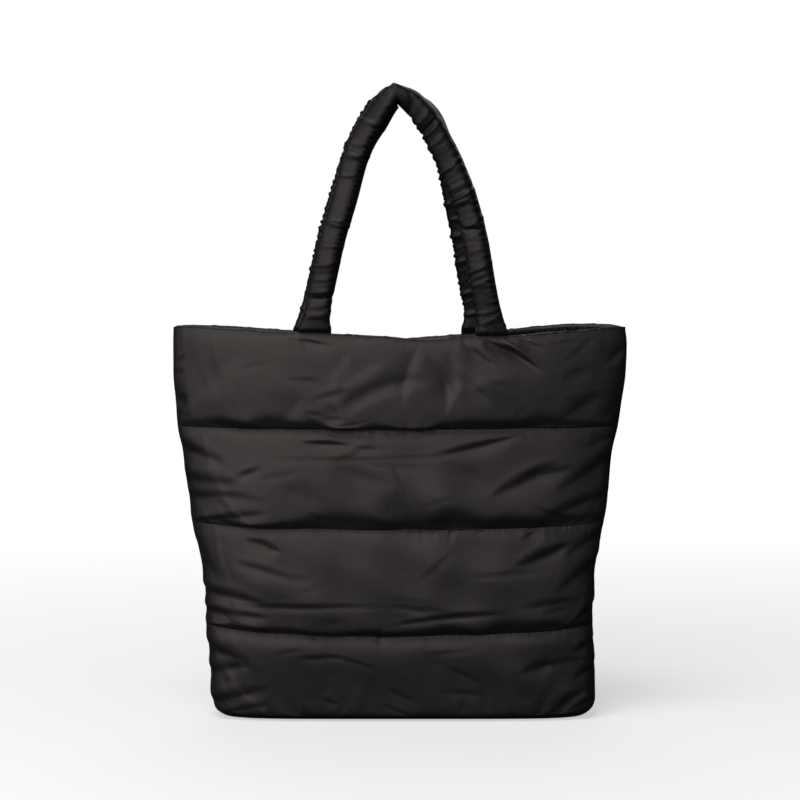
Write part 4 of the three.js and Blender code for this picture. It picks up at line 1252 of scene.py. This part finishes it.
def make_studio():
    """A wide pale floor, which fades into the white round it."""
    points = np.array([[(x, y, 0.0) for x in (-FLOOR_HALF, FLOOR_HALF)] for y in (-FLOOR_HALF, FLOOR_HALF)])
    floor = new_object("studio_floor", points, [grid_faces(2, 2)])
    floor.visible_glossy = floor.visible_diffuse = False
    nodes = Nodes("pale_paper")
    place = nodes.stretched(nodes.add("TexCoord").outputs["Object"], (1 / FLOOR_FADE,) * 3)
    near = nodes.add("TexGradient", {"Vector": place}, gradient_type="SPHERICAL").outputs["Fac"]
    grain = nodes.noise(place, 300.0)
    shader = nodes.add("BsdfPrincipled", {
        "Base Color": (0.86, 0.86, 0.86, 1),
        "Roughness": nodes.spread(grain, 0.85, 0.95),
        "Emission Color": (1.0, 1.0, 1.0, 1),
        "Emission Strength": nodes.spread(near, 1.0, 0.5),
    })
    nodes.add("OutputMaterial", {"Surface": shader.outputs[0]})
    floor.data.materials.append(nodes.material)


def softbox(box):
    """A soft light that points at the bag and doesn't show to the camera."""
    light = bpy.data.lights.new(box.name, "AREA")
    light.shape = "RECTANGLE"
    light.size, light.size_y = box.size
    light.energy = box.power
    lamp = bpy.data.objects.new(box.name, light)
    lamp.location = box.place
    lamp.rotation_euler = (Vector(LIGHT_AIM) - Vector(box.place)).to_track_quat("-Z", "Y").to_euler()
    lamp.visible_camera = False
    bpy.context.collection.objects.link(lamp)


def make_world(shown, lit):
    """A world that is pale to the camera and dimmer as a light."""
    world = bpy.data.worlds.new("studio")
    bpy.context.scene.world = world
    world.use_nodes = True
    tree = world.node_tree
    tree.nodes.clear()
    ray = tree.nodes.new("ShaderNodeLightPath")
    blend = tree.nodes.new("ShaderNodeMixShader")
    shades = []
    for strength in (lit, shown):
        shade = tree.nodes.new("ShaderNodeBackground")
        shade.inputs["Color"].default_value = (1, 1, 1, 1)
        shade.inputs["Strength"].default_value = strength
        shades.append(shade)
    output = tree.nodes.new("ShaderNodeOutputWorld")
    tree.links.new(ray.outputs["Is Camera Ray"], blend.inputs[0])
    tree.links.new(shades[0].outputs[0], blend.inputs[1])
    tree.links.new(shades[1].outputs[0], blend.inputs[2])
    tree.links.new(blend.outputs[0], output.inputs[0])


def make_camera():
    """The photo's view: straight ahead, from a little above."""
    camera = bpy.data.cameras.new("camera")
    camera.lens = CAMERA_LENS
    camera.sensor_width = CAMERA_SENSOR
    eye = bpy.data.objects.new("camera", camera)
    away = Vector((0, -math.cos(CAMERA_RISE), math.sin(CAMERA_RISE)))
    eye.location = Vector(CAMERA_TARGET) + CAMERA_DISTANCE * away
    eye.rotation_euler = (math.pi / 2 - CAMERA_RISE, 0, 0)
    bpy.context.collection.objects.link(eye)
    bpy.context.scene.camera = eye


shell, facing_cloth_painted_shade, handle_cloth = (nylon(name) for name in NYLONS)
black_thread = thread("black_thread", THREAD_COLOR)

for side, name, node in ((FRONT, "front_wall", "front_panel"), (BACK, "back_wall", "back_panel")):
    make_wall(side, name, node).data.materials.append(shell)
make_base().data.materials.append(shell)
make_rim_roll().data.materials.append(shell)
# The facing gets the darker cloth: painted shade for the inside of the mouth.
make_facing().data.materials.append(facing_cloth_painted_shade)
handle_rows = []
for side, name, node in ((FRONT, "front_strap", "front_handle"), (BACK, "back_strap", "back_handle")):
    line, outward = make_handle(side, name, node)
    bpy.data.objects[name].data.materials.append(handle_cloth)
    handle_rows.append(stitches_along(line, outward))
make_stitches("quilting_stitches", seam_stitches(FRONT) + seam_stitches(BACK), STITCH_RADIUS)
make_stitches("handle_stitches", handle_rows, STITCH_RADIUS)
for name in ("quilting_stitches", "handle_stitches"):
    bpy.data.objects[name].data.materials.append(black_thread)

make_studio()
make_world(shown=1.0, lit=0.01)
for box in SOFTBOXES:
    softbox(box)
make_camera()
bpy.context.scene.view_settings.view_transform = "Standard"
